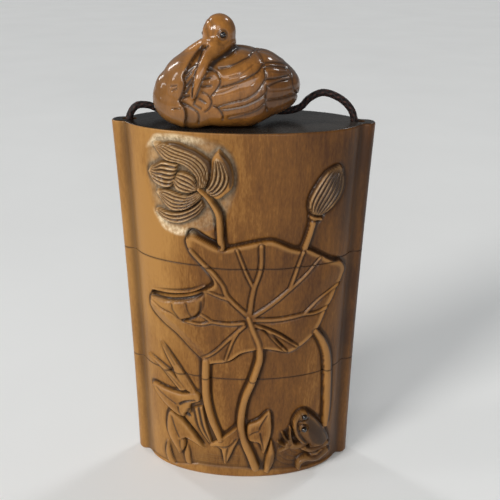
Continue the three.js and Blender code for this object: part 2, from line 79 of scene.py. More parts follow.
# Details that only the looks have
CREASE_AT = 26.4 * MM
CREASE_SOFTNESS = 0.8 * MM
CREASE_WIDTH = 1.5 * MM
CREASE_DARK_WIDTH = 1.3 * MM
SKIN = 2.4 * MM
CORD_HOLE_RADIUS = 1.15 * MM
BRAID_PITCH = 3.6 * MM
OVERCUT = 1 * MM

CASE_HEIGHT = BOTTOM_HEIGHT + MIDDLE_HEIGHT + LID_HEIGHT
BODY_HALF = CASE_WIDTH / 2 - COLUMN_REACH
COLUMN_AT = CASE_WIDTH / 2 - COLUMN_RADIUS
CHANNEL_AT = CASE_WIDTH / 2 - CHANNEL_INSET
CAVITY_HALF_WIDTH = BODY_HALF - SIDE_WALL
CAVITY_HALF_DEPTH = CASE_DEPTH / 2 - FACE_WALL
MIDDLE_BASE = BOTTOM_HEIGHT
LID_BASE = BOTTOM_HEIGHT + MIDDLE_HEIGHT

# How fine the meshes are
FRONT_POINTS = 345
BACK_POINTS = 170
ROW_STEP = 0.21 * MM
BIRD_VOXEL = 0.2 * MM


# Lines, and fields over a flat sheet

def smooth_line(points, closed=False, step=0.4):
    """A Catmull-Rom curve through the points, as points about step apart."""
    points = np.asarray(points, float)
    if closed:
        ends = [points[-1:], points, points[:2]]
    else:
        ends = [2 * points[:1] - points[1:2], points, 2 * points[-1:] - points[-2:-1]]
    around = np.concatenate(ends)
    made = []
    for a, b, c, d in zip(around, around[1:], around[2:], around[3:]):
        count = max(2, int(np.linalg.norm(c - b) / step) + 1)
        t = (np.arange(count) / count)[:, None]
        made.append(0.5 * (2 * b + (c - a) * t + (2 * a - 5 * b + 4 * c - d) * t**2
                           + (3 * b - a - 3 * c + d) * t**3))
    if not closed:
        made.append(points[-1:])
    return np.concatenate(made)


def nearest(x, z, line):
    """Distance to the line, how far along it (0 to 1) and on which side of it each place is."""
    best = np.full(x.shape, 1e12)
    share = np.zeros(x.shape)
    side = np.zeros(x.shape)
    steps = np.diff(line, axis=0)
    lengths = np.maximum(np.hypot(steps[:, 0], steps[:, 1]), 1e-9)
    starts = np.concatenate([[0], np.cumsum(lengths)])
    for (ax, az), (sx, sz), length, start in zip(line[:-1], steps, lengths, starts):
        ux, uz = sx / length, sz / length
        along = np.clip((x - ax) * ux + (z - az) * uz, 0, length)
        away = (x - ax - ux * along) ** 2 + (z - az - uz * along) ** 2
        closer = away < best
        best = np.where(closer, away, best)
        share = np.where(closer, (start + along) / starts[-1], share)
        side = np.where(closer, np.sign(ux * (z - az) - uz * (x - ax)), side)
    return np.sqrt(best), share, side


def nearest_of(x, z, lines):
    """Distance to the nearest of several lines."""
    return np.min([nearest(x, z, line)[0] for line in lines], axis=0)


def run_along(line):
    """How long a line is up to each of its points."""
    return np.concatenate([[0], np.cumsum(np.linalg.norm(np.diff(line, axis=0), axis=1))])


def spaced(line, count, endpoint=True):
    """Points evenly spaced along a line."""
    run = run_along(line)
    at = np.linspace(0, run[-1], count, endpoint=endpoint)
    return np.stack([np.interp(at, run, values) for values in line.T], axis=1)


def rib_line(left, right, share, count=26):
    """A line along a figure, a share of the way from its left side line to its right one."""
    return spaced(left, count) * (1 - share) + spaced(right, count) * share


def inside(x, z, outline):
    """Whether each place is inside a closed outline."""
    within = np.zeros(x.shape, bool)
    for (ax, az), (bx, bz) in zip(outline, np.roll(outline, -1, axis=0)):
        if az != bz:
            crosses = (az > z) != (bz > z)
            within ^= crosses & (x < (bx - ax) * (z - az) / (bz - az) + ax)
    return within


def depth_in(x, z, outline):
    """How far inside a closed outline each place is. It is negative outside."""
    away = nearest(x, z, np.concatenate([outline, outline[:1]]))[0]
    return np.where(inside(x, z, outline), away, -away)


def ramp(value):
    """A soft step: 0 up to 0, 1 from 1 on."""
    value = np.clip(value, 0, 1)
    return value * value * (3 - 2 * value)


def blurred(field, radius):
    """The field blurred by a bell curve whose spread is radius cells."""
    reach = int(3 * radius) + 1
    bell = np.exp(-0.5 * (np.arange(-reach, reach + 1) / radius) ** 2)
    bell /= bell.sum()
    for axis in (0, 1):
        padded = np.pad(field, [(reach, reach) if k == axis else (0, 0) for k in (0, 1)], mode="edge")
        total = np.zeros(field.shape)
        for k, share in enumerate(bell):
            cut = [slice(None), slice(None)]
            cut[axis] = slice(k, k + field.shape[axis])
            total += share * padded[tuple(cut)]
        field = total
    return field


class Sheet:
    """One face of the case laid flat, in millimetres: its carving's height, its stains and painted shade, and
    its polish and painted sheen.
    """

    CELL = 0.1
    SOFT_EDGE = 0.16

    def __init__(self):
        self.x = np.arange(-28, 28 + self.CELL / 2, self.CELL)
        self.z = np.arange(-1, 97 + self.CELL / 2, self.CELL)
        shape = (len(self.z), len(self.x))
        self.height = np.zeros(shape)
        self.cover = np.zeros(shape)
        self.stain_and_shade = np.zeros(shape)
        self.polish_and_sheen = np.zeros(shape)

    def window(self, line, margin=1.5):
        """The part of the sheet round a line, and the places in it."""
        low = line.min(axis=0) - margin
        high = line.max(axis=0) + margin
        columns = slice(*np.searchsorted(self.x, [low[0], high[0]]))
        rows = slice(*np.searchsorted(self.z, [low[1], high[1]]))
        x, z = np.meshgrid(self.x[columns], self.z[rows])
        return (rows, columns), x, z

    def outlined(self, outline):
        """The part of the sheet round a closed outline, and how far inside it each place is."""
        line = smooth_line(outline, closed=True)
        place, x, z = self.window(line)
        return place, depth_in(x, z, line)

    def lay(self, place, amount, height):
        """Puts a figure over what is there, by the amount of it in each place."""
        self.height[place] = self.height[place] * (1 - amount) + height * amount
        self.stain_and_shade[place] *= 1 - amount
        self.cover[place] = np.maximum(self.cover[place], amount)

    def darken(self, place, stain_and_shade):
        self.stain_and_shade[place] = np.maximum(self.stain_and_shade[place], stain_and_shade)

    def plate(self, outline, height, bevel):
        """A raised flat figure with rounded edges."""
        place, away = self.outlined(outline)
        rise = np.sqrt(1 - (1 - np.clip(away / bevel, 0, 1)) ** 2)
        self.lay(place, ramp(away / self.SOFT_EDGE + 0.5), height * (0.3 + 0.7 * rise))

    def mound(self, outline, height, reach):
        """A domed figure whose top is a whole reach in from its outline."""
        place, away = self.outlined(outline)
        rise = (1 - (1 - np.clip(away / reach, 0, 1)) ** 2) ** 0.55
        self.lay(place, ramp(away / self.SOFT_EDGE + 0.5), height * (0.25 + 0.75 * rise))

    def fan(self, left, right, height, ridges=0, ridge=0.22, dome=0.4, keel=False, painted_sheen=0.0):
        """A petal, bud or blade between two side lines from base to tip, with ridges along it."""
        left, right = smooth_line(left), smooth_line(right)
        outline = np.concatenate([left, right[::-1]])
        place, x, z = self.window(outline)
        to_left = nearest(x, z, left)[0]
        to_right = nearest(x, z, right)[0]
        across = to_left / np.maximum(to_left + to_right, 1e-6)
        if keel:
            crown = 1 - np.abs(2 * across - 1)
        else:
            crown = np.sqrt(np.clip(4 * across * (1 - across), 0, 1))
        valley = np.zeros(x.shape)
        crest = np.zeros(x.shape)
        if ridges:
            to_crest = nearest_of(x, z, [rib_line(left, right, (k + 0.5) / ridges) for k in range(ridges)])
            to_valley = nearest_of(x, z, [rib_line(left, right, k / ridges) for k in range(ridges + 1)])
            valley = to_crest**2 / np.maximum(to_crest**2 + to_valley**2, 1e-6)
            valley = valley * ramp((to_crest + to_valley) / 0.22)
            crest = 1 - valley
        amount = ramp(depth_in(x, z, outline) / self.SOFT_EDGE + 0.5)
        self.lay(place, amount, height * (1 - dome + dome * crown) - ridge * valley)
        # Painted highlight along the crests, painted shade down the valleys
        self.polish_and_sheen[place] = self.polish_and_sheen[place] * (1 - amount) + painted_sheen * ramp(crest * 2.4 - 1.4) * amount
        self.darken(place, 0.97 * ramp(valley * 1.6 - 0.25) * amount)

    def blade(self, left, right, height, dome=0.6):
        """A blade of grass with a keel down its middle."""
        self.fan(left, right, height, dome=dome, keel=True)

    def bar(self, line, widths, height, base):
        """A round raised stroke, such as a stem."""
        line = smooth_line(line)
        place, x, z = self.window(line, margin=max(widths) / 2 + 1)
        away, share, _ = nearest(x, z, line)
        half = np.interp(share, np.linspace(0, 1, len(widths)), widths) / 2
        top = base + height * np.sqrt(np.clip(1 - (away / half) ** 2, 0, 1))
        self.lay(place, ramp((half - away) / self.SOFT_EDGE + 0.5), top)

    def cut(self, line, depth, width, stain_and_shade=0.0, ends=(0.12, 0.12)):
        """An engraved line, shallower towards its ends."""
        line = smooth_line(line)
        place, x, z = self.window(line, margin=width * 3)
        away, share, _ = nearest(x, z, line)
        taper = ramp(share / ends[0]) * ramp((1 - share) / ends[1])
        amount = np.exp(-((away / width) ** 2)) * taper
        self.height[place] -= depth * amount
        # Painted shade darkens the groove by the given amount
        self.darken(place, stain_and_shade * amount)

    def cuts(self, depth, width, stain_and_shade, *lines):
        """Engraved lines of one kind."""
        for line in lines:
            self.cut(line, depth, width, stain_and_shade)

    def tint(self, outline, amount, soft=1.0):
        """Darkens the wood inside an outline."""
        place, away = self.outlined(outline)
        self.darken(place, amount * ramp(away / soft + 0.5))

    def fade_sides(self):
        """Ends the carving short of the cord's columns."""
        self.height *= ramp((26.3 - np.abs(self.x)) / 1.2)

    def find_hollows(self, spread=7, gain=2.7):
        """Tells hollows from crests, by how far each place lies below what is round it."""
        self.hollow = (blurred(self.height, spread) - self.height) * gain

    def sample(self, field, x, z):
        """A field's values at places given in metres."""
        column = np.clip((x / MM - self.x[0]) / self.CELL, 0, len(self.x) - 1.001)
        row = np.clip((z / MM - self.z[0]) / self.CELL, 0, len(self.z) - 1.001)
        i, j = row.astype(int), column.astype(int)
        u, v = row - i, column - j
        return ((1 - u) * ((1 - v) * field[i, j] + v * field[i, j + 1])
                + u * ((1 - v) * field[i + 1, j] + v * field[i + 1, j + 1]))


# The carving on the front

LEAF_OUTLINE = [
    (-12.6, 70.6), (-12.2, 71.8), (-10.9, 72.2), (-9.2, 71.4), (-5.9, 69.8), (-4.2, 69), (-2.6, 69.6),
 (2.1, 70.8),
    (5.5, 71.4), (7.8, 71.2), (11.4, 69.4), (13.8, 68.6), (15.2, 68.8), (17.5, 67.5), (21.4, 64.8),
 (23.5, 64),
    (24.6, 61.9), (24.3, 60.4), (23.5, 58.2), (22.6, 56.4), (22, 54.6), (20.6, 52), (19.3, 48.3),
 (17.4, 45.2),
    (14.9, 42.8), (12.9, 41.5), (11.1, 41), (8.6, 41.8), (5.3, 42.5), (2.6, 42), (0, 41.2), (-2.2, 39.3),
    (-4.1, 38.4), (-6.5, 37.9), (-8.7, 37.3), (-9.9, 38.3), (-12.6, 41), (-16, 44.6), (-19.6, 47.2),
    (-22.3, 50), (-22.4, 53), (-21.8, 54.6), (-19, 55.2), (-15.5, 55.8), (-10.7, 57.4), (-8.2, 58.6),
 (-6.4, 60.1),
    (-7, 62.1), (-9.2, 64.8), (-11.6, 67.5),
]
LEAF_SOFT_EDGE = [(-24, 50.5), (-19.6, 47.2), (-16, 44.6), (-12.6, 41), (-10.6, 39)]
LEAF_VEINS = [
    ([(1.6, 52), (-3, 56.9), (-4.3, 60), (-6.3, 63), (-9.1, 65.8), (-11.6, 68.6)], 1.5, 0.9),
    ([(-2.6, 56.4), (-4.8, 57), (-8, 58.2)], 1.1, 0.6),
    ([(2, 52), (2.4, 56), (3, 59.6)], 1.6, 1.4),
    ([(3, 59.4), (1.2, 63.4), (-0.9, 69.3)], 1.1, 0.8),
    ([(3, 59.4), (4.5, 64.6), (4.6, 70.2)], 1.2, 1.3),
    ([(2.6, 51.6), (7.4, 55.2), (11.6, 59)], 1.4, 1.2),
    ([(11.4, 58.8), (12.6, 63), (14.2, 68.2)], 1.1, 0.9),
    ([(11.4, 58.8), (15, 62.2), (18.2, 66.2)], 1.1, 0.6),
    ([(2.6, 50.9), (9, 50.8), (15.2, 51.6)], 1.4, 1.2),
    ([(15, 51.6), (18.6, 55.2), (23, 58)], 1.0, 0.6),
    ([(15, 51.6), (18, 51.5), (21.2, 52.6)], 1.1, 0.8),
    ([(3, 49.6), (8.4, 46.8), (13.6, 42.8)], 1.2, 0.8),
    ([(6.4, 47.6), (8.6, 44.4), (11, 41.6)], 1.0, 0.7),
    ([(0.6, 50), (-3, 49.6), (-7.2, 49.9)], 1.2, 0.9),
    ([(-7, 49.9), (-8.8, 51.2), (-10.8, 52.2)], 0.9, 0.6),
    ([(-7, 49.9), (-10, 49), (-14, 49.4)], 0.9, 0.7),
    ([(0.8, 49.2), (-3.2, 45), (-6.4, 41.4), (-9.8, 38.8)], 1.2, 0.8),
    ([(-0.4, 48.2), (-2.1, 44.7), (-3.8, 39.4)], 1.0, 0.7),
]


def veined_leaf(sheet, outline, veins, height, lip, soft_edge=None):
    """A leaf whose middle lies a lip lower than its rim, with a trench along each side of each vein."""
    line = smooth_line(outline, closed=True)
    place, x, z = sheet.window(line)
    away = depth_in(x, z, line)
    rib = np.zeros(x.shape)
    trench = np.zeros(x.shape)
    to_rib = np.full(x.shape, 99.0)
    for path, wide, narrow in veins:
        off, share, _ = nearest(x, z, smooth_line(path))
        half = 0.42 * (wide + (narrow - wide) * share)
        rib = np.maximum(rib, np.clip(1 - (off / half) ** 2, 0, 1) ** 0.6 * (0.75 + 0.25 * (1 - share)))
        trench = np.maximum(trench, np.exp(-(((off - half - 0.1) / 0.2) ** 2)))
        to_rib = np.minimum(to_rib, np.maximum(off - half, 0))
    pillow = 1 - np.exp(-((to_rib / 2.4) ** 2))
    inner = ramp(away / 1.6)
    top = height - lip * inner + 0.28 * pillow * inner + 0.3 * rib - 0.34 * trench * (rib < 0.15)
    edge = np.sqrt(1 - (1 - np.clip(away / 0.5, 0, 1)) ** 2)
    top = top * (0.4 + 0.6 * edge)
    if soft_edge is not None:
        top = top * ramp(nearest(x, z, smooth_line(soft_edge))[0] / 3.2)
    amount = ramp(away / sheet.SOFT_EDGE + 0.5)
    sheet.lay(place, amount, top)
    # Painted shade in the trenches beside the veins
    sheet.darken(place, 0.55 * trench * (rib < 0.3) * amount)


# Each petal of the open flower: its lower and its upper side from base to tip, its height and its ridges
PETALS = [
    ([(-8.1, 79.4), (-9.5, 77.3), (-11.4, 75.9), (-13.9, 74.7), (-16.3, 74.7), (-18.2, 75.5), (-19.5, 77.3)],
     [(-8.8, 80.9), (-10.6, 79.2), (-13, 77.9), (-15.4, 77.3), (-17.3, 77.4), (-18.4, 77.7),
      (-19.5, 77.3)], 0.8, 3),
    ([(-8.6, 82.2), (-9.1, 81), (-10.6, 79.5), (-12.5, 78.2), (-15, 77.7), (-16.6, 78.4), (-17.9, 80),
      (-19, 82)],
     [(-9.8, 82.7), (-12.1, 81.7), (-14.2, 82), (-16.2, 82.6), (-17.8, 82.5), (-19, 82)], 1.1, 5),
    ([(-15.1, 83.9), (-16, 83), (-17.8, 83), (-19.5, 83.9), (-20.2, 85), (-20.6, 86.5)],
     [(-13.8, 88.8), (-15.6, 89.1), (-17.4, 89.1), (-18.7, 88.2), (-20.1, 87.3), (-20.6, 86.5)], 0.95, 6),
    ([(-9.6, 83.2), (-10.5, 82.7), (-11.7, 82.3), (-13.3, 82.4), (-14.5, 83), (-15, 84.5)],
     [(-9.6, 83.4), (-9.8, 85), (-10.4, 86.2), (-11.9, 87), (-13.4, 87.1), (-14, 86.8)], 1.2, 5),
    ([(-9.6, 83.6), (-9.8, 86), (-10.7, 87.3), (-12.1, 88.4), (-13.7, 89), (-15.7, 89.2), (-17.1, 89.8),
      (-18.5, 91.8), (-19, 93.3)],
     [(-7.8, 83.9), (-7.1, 85.9), (-7.1, 88), (-7.7, 89.5), (-9.2, 90.9), (-11.4, 91.9), (-13.9, 92.6),
      (-16, 93.1), (-19, 93.3)], 1.35, 5),
    ([(-7.7, 83.5), (-7, 84.9), (-6.6, 86.6), (-6.4, 88.6), (-6.3, 90.1), (-5.7, 91.3), (-4.7, 92.4)],
     [(-7.4, 82.7), (-6.4, 81.9), (-5, 81.3), (-3.4, 82.5), (-2.2, 83.7), (-1.7, 85.3), (-1.8, 87.6),
      (-2.5, 89.8),
      (-3.6, 91.2), (-4.7, 92.4)], 0.95, 0),
    ([(-7.7, 83.5), (-7, 84.6), (-6.4, 86.2), (-6.1, 88.2), (-5.9, 90), (-5.2, 90.7)],
     [(-7.4, 82.7), (-6.1, 82), (-4.6, 82.6), (-3.2, 84.2), (-2.6, 86.3), (-3.1, 88.1), (-3.9, 89.9),
      (-5.2, 90.7)],
     1.35, 4),
]
BACK_PETAL = [
    (-17, 93), (-14.6, 93.6), (-12.8, 93.3), (-11.7, 92.8), (-10.2, 92.4), (-8.5, 91.4), (-7.2, 90.5),
 (-6.6, 90.1),
    (-6.4, 88.9), (-6.6, 87.1), (-6.9, 85.5), (-7.6, 84.3), (-8.5, 87.8), (-10.5, 89.6), (-13, 91),
]


def lotus_flower(sheet):
    sheet.mound(BACK_PETAL, 0.75, 1.4)
    # The back petal, painted dark as a shadow
    sheet.tint(BACK_PETAL, 0.85, 0.2)
    for low, high, height, ridges in PETALS:
        sheet.fan(low, high, height, ridges, ridge=0.5, painted_sheen=0.5)
    # Painted shade on the right side of the upper petals and on the lowest petal near its base
    sheet.tint([(-4.7, 92), (-3.2, 90.8), (-2, 88.4), (-1.9, 85.2), (-2.6, 84), (-2.7, 86.4),
                (-3.3, 89)], 0.88, 0.3)
    sheet.tint([(-8.2, 80.6), (-9.6, 78.2), (-11.8, 76.6), (-10.4, 76), (-8.4, 78)], 0.5, 1.2)
    sheet.bar([(-9.2, 83.4), (-7.4, 81.7), (-5.8, 79.4), (-4.9, 77.2), (-4.7, 73.5), (-4.5, 69.6)],
              [0.9, 1.2, 1.5, 1.6, 1.7, 1.8], 1.05, 0.25)
    # Grooves beside the stem; the right one is painted dark as the stem's shadow
    sheet.cut([(-8.6, 82.2), (-7, 79.4), (-6, 76.6), (-5.8, 73)], 0.3, 0.22, 0.6)
    sheet.cut([(-6.6, 81.6), (-4.8, 79.2), (-4, 76.8), (-3.8, 72), (-3.7, 70.4)], 0.3, 0.35, 0.85)


def lotus_bud(sheet):
    sheet.fan([(15.9, 77), (15, 79), (15.3, 81.4), (17, 84.6), (18.9, 86.9), (21.8, 88)],
              [(17.6, 76.8), (19.4, 77.6), (21.4, 79.4), (22.7, 81.9), (22.8, 84.9), (21.8, 88)], 1.35, 7,
              ridge=0.4, dome=0.6, painted_sheen=0.25)
    # Painted shadow on the bud's right side
    sheet.tint([(19, 86.6), (21.8, 88), (22.9, 85), (22.7, 81.8), (21, 79.2), (20.6, 82.6)], 0.72, 1.6)
    sheet.bar([(16.3, 76.4), (16.2, 75.4), (15.6, 72.6), (14.5, 69)], [1.5, 1.3, 1.3, 1.4], 0.75, 0.2)
    sheet.bar([(15.7, 76.6), (17.7, 76)], [1, 1], 0.5, 0.6)
    for collar in ([(15.4, 77.2), (17.9, 76.6)], [(15.4, 75.8), (17.8, 75.3)]):
        sheet.cut(collar, 0.45, 0.2, 0.8, ends=(0.02, 0.02))


def front_leaf(sheet):
    veined_leaf(sheet, LEAF_OUTLINE, LEAF_VEINS, 1.05, 0.25, LEAF_SOFT_EDGE)
    # The gap behind the curled corner, and the fold on the left with the gap over it; both gaps are cut deep
    # and painted dark as shade
    sheet.cut([(-12.7, 71.2), (-11.6, 72.9), (-9.4, 72.4), (-6.6, 70.8), (-4.4, 69.6)], 1.0, 0.5, 1.0,
              ends=(0.1, 0.05))
    sheet.mound([(-22.3, 53.6), (-19, 53.9), (-15.5, 54.3), (-11.5, 55.6), (-8.8, 57.2), (-9, 53.6),
                 (-10.8, 51),
                 (-14.8, 49.3), (-17, 50.6), (-19.8, 51.5)], 1.15, 2.0)
    sheet.cut([(-22.4, 54.6), (-19, 54.6), (-15.6, 55), (-11, 56.4), (-8.2, 58.2)], 0.95, 0.48, 1.0,
              ends=(0.03, 0.1))
    sheet.bar([(-22, 55.8), (-17, 56.3), (-12, 57.4), (-8.6, 59.2)], [0.3, 0.7, 0.7, 0.4], 0.25, -0.05)
    sheet.cuts(0.4, 0.22, 0.8, [(-16.9, 53.8), (-16.6, 51.9), (-15, 49.5)], [(-13.3, 54.6), (-12.9, 52.6),
                                                                             (-12, 50.4)])
    sheet.cut([(-9.6, 56), (-9.8, 53), (-11.2, 50.7), (-15.1, 48.9)], 0.45, 0.25, 0.8)
    sheet.cut([(-10.3, 39.2), (-8.9, 37), (-6.5, 37.7), (-4.1, 38.1), (-2.2, 39), (0, 41)], 0.3, 0.25, 0.6)
    sheet.cuts(0.4, 0.3, 0.5, [(4.6, 48.6), (8, 45.6), (10.6, 42.4)], [(4.6, 49.4), (9.4, 46.8),
                                                                       (13.2, 43.4)])


# The stems: their lines, their widths from top to foot, how round they are and how high they lie
STEMS = [
    ([(-8.8, 38), (-9, 32.6), (-8.9, 26.6), (-7.8, 20.6), (-6.3, 16), (-5.5, 13.6)],
     [2.0, 2.1, 2.1, 2.0, 1.9, 1.7], 0.95, 0.15),
    ([(18, 46.2), (20.1, 42.6), (21.6, 38), (22.2, 31.5), (22.4, 27), (22.6, 20.4), (22.4, 15)],
     [1.6, 1.9, 2.0, 2.0, 2.0, 1.9, 1.7], 0.95, 0.15),
    ([(1.8, 51.6), (2.9, 48), (4.3, 44), (4.6, 40), (3.9, 36.6), (2.7, 32.4), (1.1, 27.8), (0.2, 23), (0, 18),
      (1.1, 12.7), (2.5, 8.6), (3.8, 4.4)],
     [1.3, 1.6, 1.7, 1.8, 1.8, 1.9, 1.9, 2.0, 2.0, 2.1, 2.2, 2.3], 1.15, 0.4),
]


def stems(sheet):
    for stem in STEMS:
        sheet.bar(*stem)


def water_plants(sheet):
    # Three long blades on the left
    sheet.blade([(-11.2, 27.4), (-13.6, 31.6), (-17.4, 37.6), (-20.4, 41.7)],
                [(-13, 27.2), (-16, 31.6), (-18.8, 37), (-20.5, 41.6)], 0.95, dome=0.7)
    sheet.cut([(-12, 27.4), (-15.4, 32.6), (-19.8, 40.6)], 0.35, 0.22, 0.6)
    sheet.blade([(-14, 28.2), (-17.8, 32.4), (-21, 34.6), (-24.2, 35.9)],
                [(-16, 27.6), (-19, 31.2), (-21.4, 33.6), (-24.3, 35.6)], 0.85, dome=0.7)
    sheet.cut([(-15, 28), (-18.6, 31.8), (-23, 35)], 0.35, 0.22, 0.7)
    sheet.blade([(-12.2, 28.2), (-14.6, 33), (-16.4, 36)], [(-14, 27.8), (-16.6, 31.4), (-17.6, 34.6)], 0.7)
    # The broad leaf under them, split by a forked rib
    sheet.plate([(-23.4, 27.5), (-19.5, 27.2), (-15.5, 27), (-11.4, 28), (-10.6, 25.6), (-13, 24),
                 (-13.4, 21),
                 (-14.6, 20.6), (-15.4, 19.2), (-19.2, 21.4), (-22.4, 24.8)], 1.1, 1.4)
    sheet.cuts(0.45, 0.26, 0.8, [(-23, 27), (-20, 25), (-16.6, 23.2)], [(-16.6, 23.2), (-16.4, 21),
                                                                        (-15, 18.9)])
    sheet.cut([(-16.6, 23.2), (-14.6, 24.8), (-11.4, 25.9)], 0.5, 0.28, 0.9)
    sheet.cut([(-13.4, 22.8), (-14.2, 20.4), (-13.2, 19.2)], 0.6, 0.42, 0.9)
    sheet.fan([(-9.8, 24), (-9, 18), (-7.6, 12)], [(-12.4, 22.6), (-11.2, 16.4), (-8.6, 11.8)], 0.55, 2, 0.25)
    # The arrowhead leaf below, and two short blades
    sheet.plate([(-18.9, 20.2), (-15.9, 18.6), (-12.8, 15), (-9.6, 10), (-12.6, 11.6), (-15, 12.4),
                 (-15.2, 9),
                 (-16.6, 6.4), (-17.6, 8), (-19.7, 12.4), (-19.9, 16.4)], 1.1, 1.2)
    sheet.cut([(-18.7, 19.6), (-17.8, 15.6), (-16.5, 12)], 0.5, 0.26, 0.9)
    sheet.cuts(0.4, 0.24, 0.7, [(-16.5, 12), (-13.4, 11.4), (-10.4, 9.9)], [(-16.5, 12), (-16.6, 9.4),
                                                                            (-15.9, 6.6)])
    sheet.cut([(-18.6, 20.2), (-15.6, 18.8), (-12.4, 14.6), (-9.6, 9.8)], 0.35, 0.24, 0.7)
    sheet.blade([(-18.4, 1.6), (-19.4, 5), (-20, 9.4)], [(-20.6, 2.4), (-21, 5.4), (-20.2, 9.4)], 0.7)
    sheet.blade([(-13.8, 3), (-14, 7), (-14.4, 10)], [(-15.2, 3.4), (-15.6, 6.4), (-14.6, 10)], 0.4)
    # The leaf left of the main stem
    sheet.plate([(-8.4, 11.4), (-4.8, 14.4), (-1, 18.2), (-0.2, 15.4), (-1.8, 11), (-4.2, 5), (-5, 8.6),
                 (-5.6, 10.6)],
                0.95, 1.1)
    sheet.cuts(0.4, 0.24, 0.7, [(-7.6, 11.3), (-3.4, 11.6), (-0.8, 15)], [(-3.4, 11.6), (-3.9, 8.4),
                                                                          (-4, 5.4)])
    sheet.bar([(-5, 14), (-1.2, 17.9)], [0.4, 0.5], 0.4, 0.9)
    # The leaf and the blade right of the main stem
    sheet.plate([(7.2, 23.2), (7.9, 20), (7.8, 15.2), (6, 8.9), (4.8, 12.6), (1.9, 14), (1.7, 18.6),
                 (4.6, 20.4)],
                1.05, 1.2)
    sheet.cuts(0.4, 0.24, 0.7, [(7, 22.4), (5.1, 18.6), (4.9, 17)], [(4.9, 17), (5.6, 13), (6, 9.4)])
    sheet.cut([(4.9, 17), (3.4, 16.6), (2, 15.6)], 0.35, 0.22, 0.6)
    sheet.blade([(6.2, 2.6), (6.6, 7), (7.9, 13.4)], [(7.4, 2), (9, 6.6), (8.6, 11), (8, 13.4)], 0.9)


def frog(sheet):
    # The body, the head and the eye's mound
    sheet.mound([(15, 20.6), (16.2, 21.9), (17.8, 20.9), (19.4, 18.9), (21.7, 14.9), (23.3, 10.5),
                 (23.3, 6.4),
                 (21.8, 3.8), (19.8, 3.4), (18.6, 6), (18.4, 9), (17.2, 11.4), (15.4, 14.3),
 (14.4, 17.6)], 2.1, 3.6)
    sheet.mound([(14.6, 20.6), (15.4, 22.1), (17, 21.9), (17.6, 20.4), (16.6, 19.2), (15, 19.2)], 1.9, 1.4)
    sheet.mound([(14.9, 17.4), (15.6, 18.4), (17, 18), (17.1, 16.6), (16, 15.9), (15, 16.2)], 2.2, 1.2)
    # The mouth and the legs
    sheet.bar([(15, 21.4), (14.1, 19), (14.3, 16.4), (15.2, 13.6),
               (17.2, 10.8)], [0.8, 1.1, 1.3, 1.3, 0.9], 0.7, 1.0)
    sheet.bar([(22.6, 9), (20.4, 8.4), (18.2, 8.6), (16.4, 9.8)], [2.2, 2.0, 1.8, 1.6], 0.7, 0.9)
    sheet.bar([(22.6, 6.2), (20, 5), (17.4, 5.6), (15.7, 4.8),
               (15.4, 2.9)], [2.6, 2.6, 2.0, 1.5, 1.1], 0.9, 0.7)
    sheet.cut([(16.4, 7.8), (18.6, 7), (21.4, 7.4)], 0.5, 0.3, 0.9)
    sheet.bar([(16.6, 10.6), (14.6, 10.4), (12.8, 11.2)], [1.6, 1.8, 2.2], 0.6, 0.6)
    for toe in ([(13.2, 11.6), (11.8, 13.4), (10.8, 15.6)], [(13.4, 12), (12.9, 14.4), (12.9, 17)],
                [(12.8, 11), (11.2, 11.4), (9.8, 12.4)], [(12.6, 10.6), (11.2, 10), (10.2, 9.6)]):
        sheet.bar(toe, [0.9, 0.8, 0.5], 0.5, 0.5)
    sheet.cuts(0.35, 0.24, 0.8, [(12.4, 12.4), (11.7, 14.6)], [(13.8, 12.2), (13.9, 14.8)], [(12, 11.3),
                                                                                             (10.6, 13.2)])
    # Its stained skin: all of it, the back, the thigh, the foot and the ground under it
    sheet.tint([(14.2, 20.8), (15.4, 22.2), (17.8, 21), (21.8, 15), (23.5, 10), (23.4, 5), (19.6, 2.6),
                (15.4, 3),
                (15.8, 9), (9.8, 9.4), (10, 15), (12.8, 17), (14, 17)], 0.5, 0.8)
    sheet.tint([(16, 21.8), (17.6, 20.6), (19.4, 18.6), (21.7, 14.8), (23.3, 10.6), (21.6, 9.8), (19.6, 10.8),
                (18, 13.6), (17.6, 16.4), (17, 18.6), (15.6, 19.6)], 0.86, 1.0)
    sheet.tint([(22.4, 9), (23.6, 6.4), (22, 3.4), (17, 1.6), (19, 3.6), (21.6, 5)], 0.6, 1.0)
    sheet.tint([(13.8, 12.6), (12.6, 16.4), (10.4, 15.4), (9.6, 12), (12, 11.6)], 0.65, 0.8)
    sheet.tint([(7.8, 8.4), (12, 8.6), (15.6, 6.6), (15, 2.4), (8, 3)], 0.45, 1.6)
    # Ripples in front of it
    turns = np.linspace(0.35, 1.5, 6)
    for reach in (2.2, 3.6, 5, 6.4):
        arc = np.stack([15.6 - reach * 1.15 * np.cos(turns), 9.6 - reach * 1.05 * np.sin(turns)], axis=1)
        sheet.cut(arc, 0.22, 0.26, 0.5)


# The hollow that the flower stands in
DISH = [
    (-19.6, 93.9), (-18.9, 94.6), (-17.5, 95), (-13.7, 95.2), (-9.4, 94.8), (-4.4, 94.3), (-1.4, 92), (0, 88),
    (-0.3, 83), (-2, 78.6), (-4, 75), (-9.3, 72.4), (-13.3, 71.8), (-16, 72), (-18, 73.1), (-19.6, 75.6),
    (-20.6, 78.2), (-21.4, 82.7), (-21.8, 87.6), (-21.2, 91.4),
]


def front_sheet():
    """The whole front: each figure, then the ground round them, then the dish's worn edge with its painted
    highlight and sheen, then the painted shade and darker places on the ground and at the seams.
    """
    sheet = Sheet()
    for carve in (lotus_flower, lotus_bud, front_leaf, water_plants, stems, frog):
        carve(sheet)
    x, z = np.meshgrid(sheet.x, sheet.z)
    near_figure = blurred(sheet.cover, 8)
    in_dish = depth_in(x, z, smooth_line(DISH, closed=True))
    sink_ground(sheet, z, near_figure, in_dish)
    paint_dish_sheen(sheet, x, z, in_dish)
    darken_ground_and_seams(sheet, x, z, near_figure)
    return sheet


